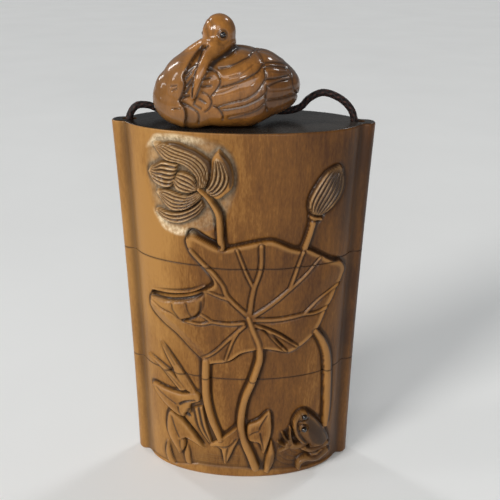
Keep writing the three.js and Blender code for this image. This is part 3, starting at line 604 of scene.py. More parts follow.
def sink_ground(sheet, z, near_figure, in_dish):
    """Lowers the ground near the figures, in the dish and over the ledge at the foot."""
    ground = np.minimum(-0.5 * ramp(near_figure * 1.9), -0.62 * ramp(in_dish / 2.0 + 0.25))
    ledge = np.interp(sheet.x, [-26, -18, -12, 0, 9.5, 19.5, 26], [0.4, 1.2, 3.2, 3.2, 2.4, 1.4, 0.8])
    above = z - ledge[None, :]
    ground = np.minimum(ground, -0.5 * ramp(above / 0.5) * np.exp(-np.clip(above, 0, None) / 7.0))
    sheet.height = sheet.height + ground * ramp(above / 0.5 + 0.3) * (1 - sheet.cover)
    for k in range(5):
        level = 4.4 + 0.75 * k
        sheet.cut([(-14 + k, level), (-6, level - 0.3), (1, level + 0.1)], 0.12, 0.18)
    sheet.height = blurred(sheet.height, 0.8)
    sheet.fade_sides()


def paint_dish_sheen(sheet, x, z, in_dish):
    """Paints a pale highlight on the dish's worn edge over and under the flower, and a faint pale sheen on
    its ground.
    """
    above_flower = ramp((z - 91) / 2) * ramp((-x - 6) / 5)
    below_flower = ramp((78 - z) / 2.5) * ramp((-x - 9) / 4)
    # Where the painted highlight falls, over and under the flower
    worn = np.maximum(above_flower, below_flower)
    edge_light = 0.85 * ramp(in_dish / 0.8 + 0.5) * ramp(1.4 - in_dish / 1.9) * worn
    dish_sheen = 0.2 * ramp(in_dish / 1.8) * ramp((-x + 2) / 6)
    sheet.polish_and_sheen = np.maximum(sheet.polish_and_sheen, np.maximum(edge_light, dish_sheen) * (1 - sheet.cover))


def darken_ground_and_seams(sheet, x, z, near_figure):
    """Paints shade on the ground near the figures and on the lid's right, darkens it towards the foot, and
    stains both seams.
    """
    low = ramp((11 - z) / 5) * ramp((23 - np.abs(x)) / 4) * ramp((z - 2.4) / 1.2)
    right = ramp((x - 20) / 4) * ramp((z - 66) / 8) * ramp((95 - z) / 5)
    # Painted shade near the figures and on the lid's right, the side away from the key light; darker towards
    # the foot
    darker_ground = 0.16 * ramp(near_figure * 2) * ramp((76 - z) / 8) + 0.3 * low + 0.4 * right
    sheet.stain_and_shade = np.maximum(sheet.stain_and_shade, darker_ground * (1 - 0.75 * sheet.cover))
    for seam in (MIDDLE_BASE / MM, LID_BASE / MM):
        sheet.stain_and_shade = np.maximum(sheet.stain_and_shade, 0.9 * np.exp(-(((z - seam) / 0.2) ** 2)))
    sheet.stain_and_shade = blurred(sheet.stain_and_shade, 0.8)


def back_sheet():
    """The plainer back: one leaf on a tall stem, a bud, and two blades."""
    sheet = Sheet()
    middle = np.array([-3, 60])
    turns = np.linspace(0, 2 * math.pi, 36, endpoint=False)
    out = np.stack([np.cos(turns), np.sin(turns)], axis=1)
    ripple = 1 + 0.09 * np.cos(3 * turns + 1)[:, None]
    outline = middle + out * ripple * (13.5, 9.5)
    tips = middle + out * (ripple - 0.03) * (13.5, 9.5)
    veins = [([middle + out[k], tips[k]], 1.2, 0.6) for k in range(0, 36, 6)]
    sheet.fan([(8.6, 79), (9.4, 83), (12.5, 88.6)], [(10.8, 78.4), (14.6, 82), (12.5, 88.6)], 1.1, 5)
    sheet.bar([(9.6, 79), (10.5, 60), (7, 36), (4, 12)], [1.5, 1.6, 1.7, 1.8], 0.75, 0.15)
    veined_leaf(sheet, outline, veins, 0.95, 0.4)
    sheet.bar([(-3, 60), (-4.5, 44), (-1, 24), (2, 4)], [1.5, 1.8, 2, 2.2], 1.0, 0.2)
    sheet.blade([(2.4, 3), (5.6, 12.6), (14, 22)], [(4.6, 3), (8.6, 10.6), (14, 22)], 0.9)
    sheet.blade([(-0.4, 3), (-4.4, 12.6), (-13, 19)], [(-2.4, 3), (-7.6, 10.6), (-13, 19)], 0.9)
    ground = -0.4 * ramp(blurred(sheet.cover, 8) * 1.9)
    sheet.height = blurred(sheet.height + ground * (1 - sheet.cover), 1.2)
    sheet.fade_sides()
    return sheet


# Solid meshes

def linked(name, data):
    """A new object in the scene."""
    made = bpy.data.objects.new(name, data)
    bpy.context.scene.collection.objects.link(made)
    return made


def grid_mesh(name, rings, caps=(0.985, 0.9, 0.6, 0.3)):
    """A closed mesh over a stack of rings, whose ends are closed by rings that shrink to a point."""
    count = rings.shape[1]
    middle_low = rings[0].mean(axis=0)
    middle_high = rings[-1].mean(axis=0)
    low = [middle_low + (rings[0] - middle_low) * k for k in reversed(caps)]
    high = [middle_high + (rings[-1] - middle_high) * k for k in caps]
    stack = np.concatenate([low, rings, high]) if caps else rings
    points = np.concatenate([stack.reshape(-1, 3), [middle_low, middle_high]])
    i = np.arange(count)
    j = (i + 1) % count
    last = (len(stack) - 1) * count
    quads = np.concatenate([np.stack([a + i, a + j, a + count + j, a + count + i], axis=1)
                            for a in range(0, last, count)])
    low_point = np.full(count, len(points) - 2)
    low_fan = np.stack([low_point, j, i], axis=1)
    high_fan = np.stack([low_point + 1, last + i, last + j], axis=1)
    fans = np.concatenate([low_fan, high_fan])
    mesh = bpy.data.meshes.new(name)
    loops = np.concatenate([quads.reshape(-1), fans.reshape(-1)])
    sizes = np.concatenate([np.full(len(quads), 4), np.full(len(fans), 3)])
    mesh.vertices.add(len(points))
    mesh.vertices.foreach_set("co", points.astype(np.float32).reshape(-1))
    mesh.loops.add(len(loops))
    mesh.loops.foreach_set("vertex_index", loops.astype(np.int32))
    mesh.polygons.add(len(sizes))
    mesh.polygons.foreach_set("loop_start", (np.cumsum(sizes) - sizes).astype(np.int32))
    mesh.update(calc_edges=True)
    mesh.validate()
    return linked(name, mesh)


def prism(outline, low, high):
    rings = np.array([[(x, y, z) for x, y in outline] for z in (low, high)])
    return grid_mesh("cutter", rings, caps=())


def ellipse(half_width, half_depth, count=96):
    return [(half_width * math.cos(a), half_depth * math.sin(a))
            for a in np.linspace(0, 2 * math.pi, count, endpoint=False)]


def slot(centre, length, width, steps=10):
    straight = (length - width) / 2
    turns = np.linspace(-math.pi / 2, math.pi / 2, steps)
    right = [(centre + straight + width / 2 * math.cos(a), width / 2 * math.sin(a)) for a in turns]
    left = [(centre - straight - width / 2 * math.cos(a), -width / 2 * math.sin(a)) for a in turns]
    return right + left


def block(low, high):
    outline = [(low[0], low[1]), (high[0], low[1]), (high[0], high[1]), (low[0], high[1])]
    return prism(outline, low[2], high[2])


def ball(centre, radius, around=32):
    tilts = np.linspace(-math.pi / 2, math.pi / 2, around // 2 + 1)[1:-1]
    turns = np.linspace(0, 2 * math.pi, around, endpoint=False)
    rings = np.array([[(math.cos(t) * math.cos(a), math.cos(t) * math.sin(a), math.sin(t)) for a in turns]
                      for t in tilts])
    made = grid_mesh("ball", np.array(centre) + radius * rings, caps=())
    made.data.vertices[-2].co.z = centre[2] - radius
    made.data.vertices[-1].co.z = centre[2] + radius
    return made


def bake(obj):
    """Makes what the object's modifiers show its own mesh."""
    graph = bpy.context.evaluated_depsgraph_get()
    made = bpy.data.meshes.new_from_object(obj.evaluated_get(graph))
    obj.modifiers.clear()
    old = obj.data
    obj.data = made
    bpy.data.meshes.remove(old)


def combine(obj, other, operation):
    step = obj.modifiers.new("step", "BOOLEAN")
    step.operation = operation
    step.solver = "MANIFOLD"
    step.object = other
    bake(obj)
    bpy.data.objects.remove(other)


def vertex_array(obj, normals=False):
    """The places or the normals of an object's vertices."""
    mesh = obj.data
    values = np.zeros(len(mesh.vertices) * 3, np.float32)
    if normals:
        mesh.vertex_normals.foreach_get("vector", values)
    else:
        mesh.vertices.foreach_get("co", values)
    return values.reshape(-1, 3).astype(float)


def put_values(obj, name, values):
    """Keeps a value at each vertex, for a material to read."""
    made = obj.data.attributes.new(name, "FLOAT", "POINT")
    made.data.foreach_set("value", np.asarray(values, np.float32))


def shade(obj, angle=math.radians(50)):
    """Smooth shading that keeps edges sharper than the angle."""
    bpy.ops.object.select_all(action="DESELECT")
    obj.select_set(True)
    bpy.context.view_layer.objects.active = obj
    bpy.ops.object.shade_smooth_by_angle(angle=angle)


# The outer form of the case

def half_depth(x):
    """Half of the plan's depth: the body, the cord's column and a soft groove between them."""
    across = np.abs(x)
    body = CASE_DEPTH / 2 * np.sqrt(np.clip(1 - (across / BODY_HALF) ** 2, 0, None))
    column = np.sqrt(np.clip(COLUMN_RADIUS**2 - (across - COLUMN_AT) ** 2, 0, None))
    blend = np.clip(GROOVE_SOFTNESS - np.abs(body - column), 0, None) / GROOVE_SOFTNESS
    blend = np.where(across > COLUMN_AT, 0, blend)
    return np.maximum(body, column) + blend**2 * GROOVE_SOFTNESS / 4


def waist_at(z):
    """How much the plan is drawn in at a height."""
    rise = z / CASE_HEIGHT
    return 1 - WAIST / (CASE_WIDTH / 2) * 4 * rise * (1 - rise)


def even_points(side, count):
    """Points along one face of the plan, evenly spaced, from the right end (back) or the left (front)."""
    x = CASE_WIDTH / 2 * np.cos(np.linspace(0, math.pi, 4001))
    line = np.stack([x, half_depth(x) * side], axis=1)
    return spaced(line if side > 0 else line[::-1], count, endpoint=False)


def softened(points):
    """The plan with the crease between its body and its columns worn soft."""
    spacing = np.hypot(*(points[1] - points[0]))
    reach = int(3 * CREASE_SOFTNESS / spacing)
    bell = np.exp(-0.5 * (np.arange(-reach, reach + 1) * spacing / CREASE_SOFTNESS) ** 2)
    bell /= bell.sum()
    around = np.concatenate([points[-reach:], points, points[:reach]])
    smooth = sum(share * around[k:k + len(points)] for k, share in enumerate(bell))
    near = np.exp(-(((np.abs(points[:, 0]) - CREASE_AT) / CREASE_WIDTH) ** 2))[:, None]
    return points + (smooth - points) * near


def case_plan():
    """The plan's points, counter-clockwise, and the way out at each."""
    points = np.concatenate([softened(even_points(1, BACK_POINTS)), softened(even_points(-1, FRONT_POINTS))])
    along = np.roll(points, -1, axis=0) - np.roll(points, 1, axis=0)
    along /= np.hypot(along[:, 0], along[:, 1])[:, None]
    return points, np.stack([along[:, 1], -along[:, 0]], axis=1)


PLAN, PLAN_OUT = case_plan()


def section_rows(low, high, low_round, high_round):
    """Heights of the rings, and how far each is drawn in by the rounded edges."""
    turns = np.linspace(0, math.pi / 2, 6)
    rows = [(low + low_round * (1 - math.cos(t)), low_round * (1 - math.sin(t))) for t in turns]
    count = int((high - low - low_round - high_round) / ROW_STEP)
    for z in np.linspace(low + low_round, high - high_round, count)[1:-1]:
        rows.append((z, 0.0))
    rows += [(high - high_round * (1 - math.cos(t)), high_round * (1 - math.sin(t))) for t in reversed(turns)]
    return rows


def section(name, low, high, low_round, high_round):
    """One section's outer form, solid, with its carving."""
    rings = []
    for z, drop in section_rows(low, high, low_round, high_round):
        place = PLAN * waist_at(z)
        level = np.full(len(place), z)
        front = FRONT.sample(FRONT.height, place[:, 0], level)
        back = BACK.sample(BACK.height, place[:, 0], level)
        lift = np.where(place[:, 1] < 0, front, back) * MM
        out = place + PLAN_OUT * (lift - drop)[:, None]
        rings.append(np.column_stack([out, level]))
    return grid_mesh(name, np.array(rings))


def cut_channels(body, low, high):
    for side in (-1, 1):
        combine(body, prism(slot(side * CHANNEL_AT, CHANNEL_LENGTH, CHANNEL_WIDTH), low, high), "DIFFERENCE")


def cavity(low, high, extra=0.0):
    return prism(ellipse(CAVITY_HALF_WIDTH + extra, CAVITY_HALF_DEPTH + extra), low, high)


def rim(seam):
    return cavity(seam - OVERCUT, seam + RIM_HEIGHT, RIM_WALL)


def rim_seat(seam):
    return cavity(seam - OVERCUT, seam + RIM_HEIGHT + RIM_HEADROOM, RIM_WALL + RIM_CLEARANCE)


# The frog's eyes: across and up on the front, and how far out. The crane's are in its own frame.
FROG_EYES = [(15.8 * MM, 17.2 * MM, 2.35 * MM), (16 * MM, 20.8 * MM, 1.75 * MM)]
CRANE_EYES = [(-0.5 * MM, -4.8 * MM, 19.1 * MM), (-4.6 * MM, -0.6 * MM, 19 * MM)]


def on_front(x, z, lift):
    """A point on the front of the case, moved out by lift."""
    scale = waist_at(z)
    flat = min(abs(x) / scale, BODY_HALF - 0.6 * MM)
    tiny = 0.2 * MM
    slope = float(half_depth(flat + tiny) - half_depth(flat - tiny)) / (2 * tiny) * math.copysign(1, x)
    length = math.hypot(slope, 1)
    return Vector((x - lift * slope / length, -(float(half_depth(flat)) * scale + lift / length), z))


def bottom_case():
    body = section("bottom_case_carved", 0, MIDDLE_BASE, FOOT_ROUND, SEAM_ROUND)
    combine(body, rim(MIDDLE_BASE), "UNION")
    combine(body, cavity(BOTTOM_FLOOR, MIDDLE_BASE + RIM_HEIGHT + OVERCUT), "DIFFERENCE")
    cut_channels(body, -OVERCUT, MIDDLE_BASE + OVERCUT)
    half = FOOT_GROOVE_WIDTH / 2
    combine(body, block((-CHANNEL_AT, -half, -OVERCUT), (CHANNEL_AT, half, FOOT_GROOVE_DEPTH)), "DIFFERENCE")
    for side in (-1, 1):
        ends = sorted([side * (CHANNEL_AT - TURN_RUN), side * (CHANNEL_AT + CHANNEL_LENGTH / 2)])
        pocket = block((ends[0], -CHANNEL_WIDTH / 2, -OVERCUT), (ends[1], CHANNEL_WIDTH / 2, TURN_ROOM))
        combine(body, pocket, "DIFFERENCE")
    for eye in FROG_EYES:
        combine(body, ball(on_front(*eye), FROG_EYE_RADIUS + EYE_GAP / 2), "DIFFERENCE")
    return body


def middle_case():
    body = section("middle_case_carved", MIDDLE_BASE, LID_BASE, SEAM_ROUND, SEAM_ROUND)
    combine(body, rim_seat(MIDDLE_BASE), "DIFFERENCE")
    combine(body, rim(LID_BASE), "UNION")
    floor = MIDDLE_BASE + RIM_HEIGHT + RIM_HEADROOM + MIDDLE_FLOOR
    combine(body, cavity(floor, LID_BASE + RIM_HEIGHT + OVERCUT), "DIFFERENCE")
    cut_channels(body, MIDDLE_BASE - OVERCUT, LID_BASE + OVERCUT)
    return body


def lid():
    body = section("lid_carved", LID_BASE, CASE_HEIGHT, SEAM_ROUND, TOP_ROUND)
    combine(body, rim_seat(LID_BASE), "DIFFERENCE")
    combine(body, cavity(LID_BASE - OVERCUT, CASE_HEIGHT - ROOF), "DIFFERENCE")
    cut_channels(body, LID_BASE - OVERCUT, CASE_HEIGHT + OVERCUT)
    return body


def finish_case_piece(body):
    """Tells the wood where it is hollow or worn, where it has stains and painted shade, where it has polish
    and a painted sheen, and where it is out of sight.
    """
    x, y, z = vertex_array(body).T
    inset = half_depth(x / waist_at(z)) * waist_at(z) - np.abs(y)
    slack = 0.02 * MM
    in_channel = np.abs(y) < CHANNEL_WIDTH / 2 + slack
    in_channel &= np.abs(np.abs(x) - CHANNEL_AT) < CHANNEL_LENGTH / 2 + slack
    hidden = (inset > SKIN) | in_channel
    values = {}
    for name in ("hollow", "stain_and_shade", "polish_and_sheen"):
        front, back = (sheet.sample(getattr(sheet, name), x, z) for sheet in (FRONT, BACK))
        values[name] = np.where(y < 0, front, back)
    # Dirt and painted shade in the crease between the body and each column
    crease = np.where(x < 0, 0.6, 0.65) * np.exp(-(((np.abs(x) - CREASE_AT) / CREASE_DARK_WIDTH) ** 2))
    values["stain_and_shade"] = np.maximum(values["stain_and_shade"], crease)
    values["hollow"] = np.clip(values["hollow"], -1, 1)
    for name, field in values.items():
        put_values(body, name, np.where(hidden, 0, field))
    put_values(body, "hidden", hidden)
    shade(body)


# The crane

BIRD_HEIGHT = 17 * MM
BIRD_RADII = (15 * MM, 9.8 * MM, BIRD_HEIGHT / 2)
BIRD_MIDDLE = (0.9 * MM, 0, BIRD_HEIGHT / 2 - 0.35 * MM)
BIRD_SQUARENESS = 2.4
TAIL_LIFT = 1.6 * MM
TAIL_DROP = 1.9 * MM
# Which way is right and up in the crane's front view
SEEN_RIGHT = np.array([0.9987, 0.0506, 0.0])
SEEN_UP = np.array([-0.0092, 0.1803, 0.9836])


def squared(value):
    """A sine or cosine bent so that the bird's body is fuller than an egg."""
    return np.sign(value) * np.abs(value) ** (2 / BIRD_SQUARENESS)


def bird_body():
    turns = np.linspace(0, 2 * math.pi, 96, endpoint=False)
    rings = []
    for tilt in np.linspace(-math.pi / 2, math.pi / 2, 49)[1:-1]:
        wide = squared(math.cos(tilt))
        x = BIRD_MIDDLE[0] + BIRD_RADII[0] * wide * squared(np.cos(turns))
        y = BIRD_MIDDLE[1] + BIRD_RADII[1] * wide * squared(np.sin(turns))
        z = BIRD_MIDDLE[2] + BIRD_RADII[2] * squared(math.sin(tilt))
        rise = z / BIRD_HEIGHT
        below = TAIL_LIFT * ramp((x - 4 * MM) / (8 * MM)) * (1 - rise)
        above = TAIL_DROP * ramp((x - 8 * MM) / (8 * MM)) * rise
        rings.append(np.stack([x, y, z + below - above], axis=1))
    return grid_mesh("bird_body", np.array(rings), caps=())


def tube_rings(centre, radius, sides):
    """Rings round a line, turned with it and not about it."""
    along = np.gradient(centre, axis=0)
    along /= np.linalg.norm(along, axis=1)[:, None]
    turned = Vector((0, 1, 0)) if abs(along[0][1]) < 0.9 else Vector((0, 0, 1))
    turns = np.linspace(0, 2 * math.pi, sides, endpoint=False)
    radius = np.broadcast_to(radius, (len(centre), sides))
    rings = []
    for k in range(len(centre)):
        way = Vector(along[k])
        turned = (turned - way * turned.dot(way)).normalized()
        other = way.cross(turned)
        out = np.cos(turns)[:, None] * np.array(turned) + np.sin(turns)[:, None] * np.array(other)
        rings.append(centre[k] + radius[k][:, None] * out)
    return np.array(rings)


def limb(line, radii, sides=32, steps=60):
    """A round limb along a smooth curve in space, thicker and thinner as its radii say."""
    centre = spaced(smooth_line(line, step=0.4 * MM), steps)
    radius = np.interp(np.linspace(0, 1, steps), np.linspace(0, 1, len(radii)), radii)
    return grid_mesh("limb", tube_rings(centre, radius[:, None], sides), caps=())


NECK_LINE = np.array([(-3, -5, 4.4), (-8.2, -3.6, 4.5), (-11.6, -1.4, 5.5), (-9.9, -0.4, 9.3),
                      (-6.5, 0, 12.9),
                      (-3, -0.6, 15.8)]) * MM
NECK_RADII = np.array([3.6, 4.9, 4.6, 4.4, 4, 3.6, 3.1]) * MM
BEAK_LINE = np.array([(-2, -4, 16.8), (-3.8, -7.6, 13.6), (-5.6, -9.4, 10), (-6.9, -9.8, 6.9)]) * MM
BEAK_RADII = np.array([2.2, 2, 1.7, 0.9]) * MM
HEAD_TILT = Matrix.Rotation(0.1, 4, "Y") @ Matrix.Rotation(0.35, 4, "X")

# Rounds that fill out the head, the cheeks and the neck's turn: their middles and radii, in millimetres
ROUNDS = [
    ((-1.45, -1.4, 19.1), (3.55, 3.8, 3.95)),
    ((-1.45, -1.6, 16.9), (3.75, 3.6, 3.4)),
    ((-10.9, -1.2, 7.4), (4.7, 4.9, 4.7)),
]

# Lines on the crane in its front view, in millimetres: across, and up from its underside
WING_LINES = [
    [(5.3, 14.8), (4.5, 13.7), (3.3, 13.1), (1.8, 12.3), (-0.3, 11.6), (-1.6, 11.4)],
    [(7.5, 12.4), (6.5, 11.0), (5.1, 10.0), (2.6, 8.8), (0.5, 8.1), (-1.2, 7.7)],
    [(7.8, 10.6), (7.9, 9.4), (6.6, 7.3), (5.6, 6.3), (3.9, 5.3), (1.7, 4.8), (-1.7, 3.8)],
    [(8.2, 8.0), (8.1, 6.7), (6.9, 5.5), (3.9, 4.0), (0.4, 3.2), (-0.8, 3.1)],
    [(8.0, 4.6), (6.5, 3.2), (3.9, 2.2), (0.4, 1.3)],
    [(5.3, 16.3), (6.2, 15.2), (7.1, 13.7), (7.5, 12.4)],
    [(7.6, 12.2), (7.8, 10.6)],
    [(8.1, 6.7), (8.0, 4.6), (8.4, 2.9)],
    [(5.3, 15.1), (7.9, 15.4), (10.0, 14.6), (11.3, 13.7)],
    [(7.7, 12.5), (9.7, 12.7), (12.3, 12.5)],
    [(7.9, 11.8), (10.1, 11.9), (12.9, 11.5)],
    [(7.9, 9.3), (10.1, 9.5), (12.8, 10.2)],
    [(8.3, 7.8), (10.5, 8.8), (13.0, 9.4)],
    [(8.0, 5.0), (11.3, 5.4), (14.6, 6.3)],
    [(12.5, 12.2), (13.5, 10.7), (13.5, 9.4), (13.8, 7.8), (14.6, 6.7), (15.6, 6.2)],
]
FINE_WING_LINES = [
    [(-2.7, 6.3), (-0.4, 6.8), (2.0, 7.9)],
    [(0.6, 9.6), (3, 10.4), (5.4, 12.2)],
    [(9, 7), (11.6, 7.2), (13.8, 7.6)],
    [(9, 10.8), (11, 10.7), (12.9, 10.9)],
]
SCALE_LINES = [
    [(-3.3, 11.4), (-2.0, 10.6), (-1.4, 9.6), (-1.3, 8.6), (-1.8, 7.5), (-2.7, 6.5), (-3.4, 5.7)],
    [(-5.0, 6.7), (-4.0, 6.3), (-3.3, 5.5), (-3.1, 4.6), (-3.6, 3.5), (-4.6, 2.7)],
    [(-2.8, 4.0), (-1.9, 3.6), (-1.2, 2.7), (-0.8, 1.9), (-1.0, 1.1)],
]
SHOULDER_LINE = [(2.1, 16.0), (-0.3, 14.2), (-1.8, 13.1), (-2.9, 12.0), (-3.3, 11.2)]
NECK_EDGE = [(-5.0, 16.0), (-6.0, 14.9), (-7.4, 12.7), (-8.4, 11.0), (-9.0, 9.8), (-8.7, 8.6), (-8.9, 7.3),
             (-9.5, 5.8), (-10.0, 5.1), (-9.5, 4.4), (-8.8, 3.1), (-8.7, 1.8), (-9.0, 0.5)]
BREAST_LINE = [(-9.5, 4.5), (-8.2, 4.1), (-7.1, 3.4), (-6.1, 2.7), (-5.8, 1.6), (-6.0, 0.3)]
BEAK_LEFT = [(-3.7, 15.8), (-5.0, 15.1), (-5.5, 13.5), (-6.1, 11.4), (-6.6, 9.4), (-6.9, 7.5), (-7.0, 5.7)]
BEAK_RIGHT = [(-2.5, 12.9), (-3.4, 11.2), (-4.6, 9.4), (-5.4, 7.6), (-6.1, 6), (-6.7, 4.6)]
SMALL_FEATHERS = [
    [(-8.4, 10.4), (-7.4, 11.2), (-6.3, 12.1)], [(-8.4, 9.4), (-7.2, 10.6)], [(-8.2, 8.0), (-7.1, 9.4)],
    [(-8.5, 6.5), (-7.1, 8.6)], [(-9.2, 5.6), (-7.8, 6)], [(-6.8, 4.2), (-5.4, 3.4)], [(-5.6, 5.4),
                                                                                       (-4.4, 4.6)],
    [(-4.6, 9.2), (-3.2, 9.6)], [(-4.8, 7.8), (-3.2, 8)],
]
TICKS = [[(-11.6, 7.9), (-10.3, 8.0)], [(-11.4, 7.0), (-10.3, 7.4)], [(-11.5, 3.3), (-9.7, 3.4)]]
NAPE_LINE = [(5.6, 15.9), (3.6, 16.1), (2.2, 15.7), (0.4, 14.3)]
HEAD_LINES = [
    [(-3.8, 21.5), (-2.8, 20.1), (-2.6, 18.6), (-2.9, 17.0)], [(-4.5, 20.6), (-3.9, 18.7), (-3.5, 16.8)],
    [(1.0, 20.2), (1.6, 18.6), (1.6, 17.2)], [(-1.6, 16.2), (-0.8, 15.8), (0.3, 16.7)],
]


def seen(place):
    """Where points of the crane, in its own frame, lie in its front view; the far side is seen mirrored."""
    near = place.copy()
    near[:, 1] = -np.abs(near[:, 1])
    return near @ SEEN_RIGHT / MM, near @ SEEN_UP / MM


def crane_relief(place):
    """How far each vertex of the crane moves out, in millimetres, and how much painted shade it gets."""
    a, b = seen(place)
    wing = ramp((a + 4.4) / 1.2)
    front = ramp(-place[:, 1] / (1.0 * MM) + 0.5)

    def off_lines(lines):
        return nearest_of(a, b, [smooth_line(line, step=0.5) for line in lines])

    # Each kind of groove: its lines, depth, width and painted shade, and where it is cut
    grooves = [
        (WING_LINES, 0.24, 0.17, 0.6, wing),
        (FINE_WING_LINES, 0.14, 0.18, 0.3, wing),
        (SCALE_LINES, 0.36, 0.2, 0.7, front),
        ([SHOULDER_LINE], 0.7, 0.5, 0.9, front),
        ([BREAST_LINE] + SMALL_FEATHERS, 0.35, 0.26, 0.8, front),
        ([BEAK_LEFT, BEAK_RIGHT], 0.35, 0.2, 0.9, front),
        (TICKS, 0.35, 0.2, 0.8, front),
        (HEAD_LINES, 0.08, 0.4, 0.4, front * ramp(b - 15)),
        ([NAPE_LINE], 0.3, 0.7, 0.75, front),
    ]
    move = -0.45 * np.exp(-off_lines(WING_LINES) / 1.2) * wing
    shade_and_stain_marks = []
    for lines, depth, width, dark, where in grooves:
        amount = np.exp(-((off_lines(lines) / width) ** 2)) * where
        move -= depth * amount
        shade_and_stain_marks.append(dark * amount)
    # A step down along the neck's edge, with painted shade along it
    off, _, side = nearest(a, b, smooth_line(NECK_EDGE, step=0.5))
    move -= 0.75 * np.where(side > 0, np.exp(-off / 1.6), 0) * front * ramp(16.5 - b)
    shade_and_stain_marks.append(0.85 * np.exp(-((off / 0.35) ** 2)) * front)
    # A shallow ring round each eye, with painted shade in it
    for eye in CRANE_EYES:
        reach = np.linalg.norm(place - np.array(eye), axis=1) / MM
        move -= 0.15 * np.exp(-(((reach - 1) / 0.3) ** 2))
        shade_and_stain_marks.append(0.75 * np.exp(-(((reach - 0.9) / 0.3) ** 2)))
    # Broad painted shade: the breast's outer side, the belly, the rump and the back behind the neck
    shade_and_stain_marks.append(0.4 * ramp((-a - 7.5) / 2) + 0.2 * ramp((-a - 11.8) / 2.6))
    shade_and_stain_marks.append(0.5 * ramp((4.2 - b) / 3) * ramp((-a - 2) / 4))
    shade_and_stain_marks.append(0.42 * ramp((a - 6.5) / 4) * ramp((9.5 - b) / 5))
    shade_and_stain_marks.append(0.32 * np.exp(-((off_lines([SHOULDER_LINE, NAPE_LINE]) / 2.6) ** 2)) * wing)
    return move, np.maximum.reduce(shade_and_stain_marks)


def smoothed(body, iterations):
    step = body.modifiers.new("worn", "SMOOTH")
    step.factor = 0.5
    step.iterations = iterations
    bake(body)


def crane():
    rounds = []
    for centre, radii in ROUNDS:
        made = ball((0, 0, 0), 1 * MM, 64)
        middle = Vector([value * MM for value in centre])
        made.data.transform(Matrix.Translation(middle) @ HEAD_TILT @ Matrix.Diagonal((*radii, 1)))
        rounds.append(made)
    body = bird_body()
    for other in (limb(NECK_LINE, NECK_RADII), limb(BEAK_LINE, BEAK_RADII), *rounds):
        combine(body, other, "UNION")
    body.name = "netsuke_carved"
    step = body.modifiers.new("even", "REMESH")
    step.mode = "VOXEL"
    step.voxel_size = BIRD_VOXEL
    smoothed(body, 45)
    place = vertex_array(body)
    move, _ = crane_relief(place)
    place += vertex_array(body, normals=True) * (move * MM)[:, None]
    body.data.vertices.foreach_set("co", place.astype(np.float32).reshape(-1))
    body.data.update()
    smoothed(body, 1)
    # A flat underside to rest on
    reach = 40 * MM
    combine(body, block((-reach, -reach, -reach / 2), (reach, reach, 0)), "DIFFERENCE")
    for eye in CRANE_EYES:
        combine(body, ball(eye, CRANE_EYE_RADIUS + EYE_GAP / 2), "DIFFERENCE")
    for hole in CORD_HOLES:
        line = [point - np.array(BIRD_PLACE) for point in hole]
        combine(body, limb(line, [CORD_HOLE_RADIUS] * 2, sides=24, steps=12), "DIFFERENCE")
    # The painted shade, and the hollows that guide the painted shade and highlight in the wood
    move, stain_and_shade = crane_relief(vertex_array(body))
    put_values(body, "stain_and_shade", stain_and_shade)
    put_values(body, "hollow", np.clip(-move * 1.2 - 0.15, -1, 1))
    for name in ("polish_and_sheen", "hidden"):
        put_values(body, name, np.zeros(len(move)))
    body.data.transform(Matrix.Translation(BIRD_PLACE))
    shade(body, math.radians(60))
    return body


# The cord

# In millimetres: where the cord turns into the foot, how high it runs there, how far out its channels are
TURN_AT = 4.3
UNDER_FOOT = 1.1
SIDE = 25.9
CORD_POINTS = [
    (-11.6, 0.4, 98.2), (-15.6, 1.8, 97.7), (-19.2, 2, 97.8), (-21.9, 1.4, 98.8), (-24.3, 0.7, 98.7),
    (-SIDE, 0.1, 96.4), (-SIDE, 0, 92), (-SIDE, 0, 64.5), (-SIDE, 0, 33), (-SIDE, 0, TURN_AT + 4),
 (-SIDE, 0, TURN_AT),
    (0.95 - SIDE, 0, TURN_AT - 2.25), (3.2 - SIDE, 0, UNDER_FOOT), (7 - SIDE, 0, UNDER_FOOT),
 (0, 0, UNDER_FOOT),
    (SIDE - 7, 0, UNDER_FOOT), (SIDE - 3.2, 0, UNDER_FOOT), (SIDE - 0.95, 0, TURN_AT - 2.25),
 (SIDE, 0, TURN_AT),
    (SIDE, 0, TURN_AT + 4), (SIDE, 0, 33), (SIDE, 0, 64.5), (SIDE, 0, 92), (25.15, 0.05, 96.2),
 (24.2, 0.4, 98.6),
    (21.6, 0.9, 100.9), (17.8, 1.4, 102), (14.9, 1.9, 100.6), (12.9, 2.2, 98.5), (9.4, 2.2, 97.6),
 (4.4, 0.9, 98.2),
]


def centripetal(points, step):
    """A centripetal Catmull-Rom curve through points in space, as points about step apart."""
    points = np.asarray(points, float)
    around = np.concatenate([2 * points[:1] - points[1:2], points, 2 * points[-1:] - points[-2:-1]])
    made = []
    for p0, p1, p2, p3 in zip(around, around[1:], around[2:], around[3:]):
        t0 = 0.0
        t1 = t0 + np.linalg.norm(p1 - p0) ** 0.5
        t2 = t1 + np.linalg.norm(p2 - p1) ** 0.5
        t3 = t2 + np.linalg.norm(p3 - p2) ** 0.5
        t = np.linspace(t1, t2, max(3, int(np.linalg.norm(p2 - p1) / step) + 1), endpoint=False)[:, None]
        a1 = (t1 - t) / (t1 - t0) * p0 + (t - t0) / (t1 - t0) * p1
        a2 = (t2 - t) / (t2 - t1) * p1 + (t - t1) / (t2 - t1) * p2
        a3 = (t3 - t) / (t3 - t2) * p2 + (t - t2) / (t3 - t2) * p3
        b1 = (t2 - t) / (t2 - t0) * a1 + (t - t0) / (t2 - t0) * a2
        b2 = (t3 - t) / (t3 - t1) * a2 + (t - t1) / (t3 - t1) * a3
        made.append((t2 - t) / (t2 - t1) * b1 + (t - t1) / (t2 - t1) * b2)
    made.append(points[-1:])
    return np.concatenate(made)


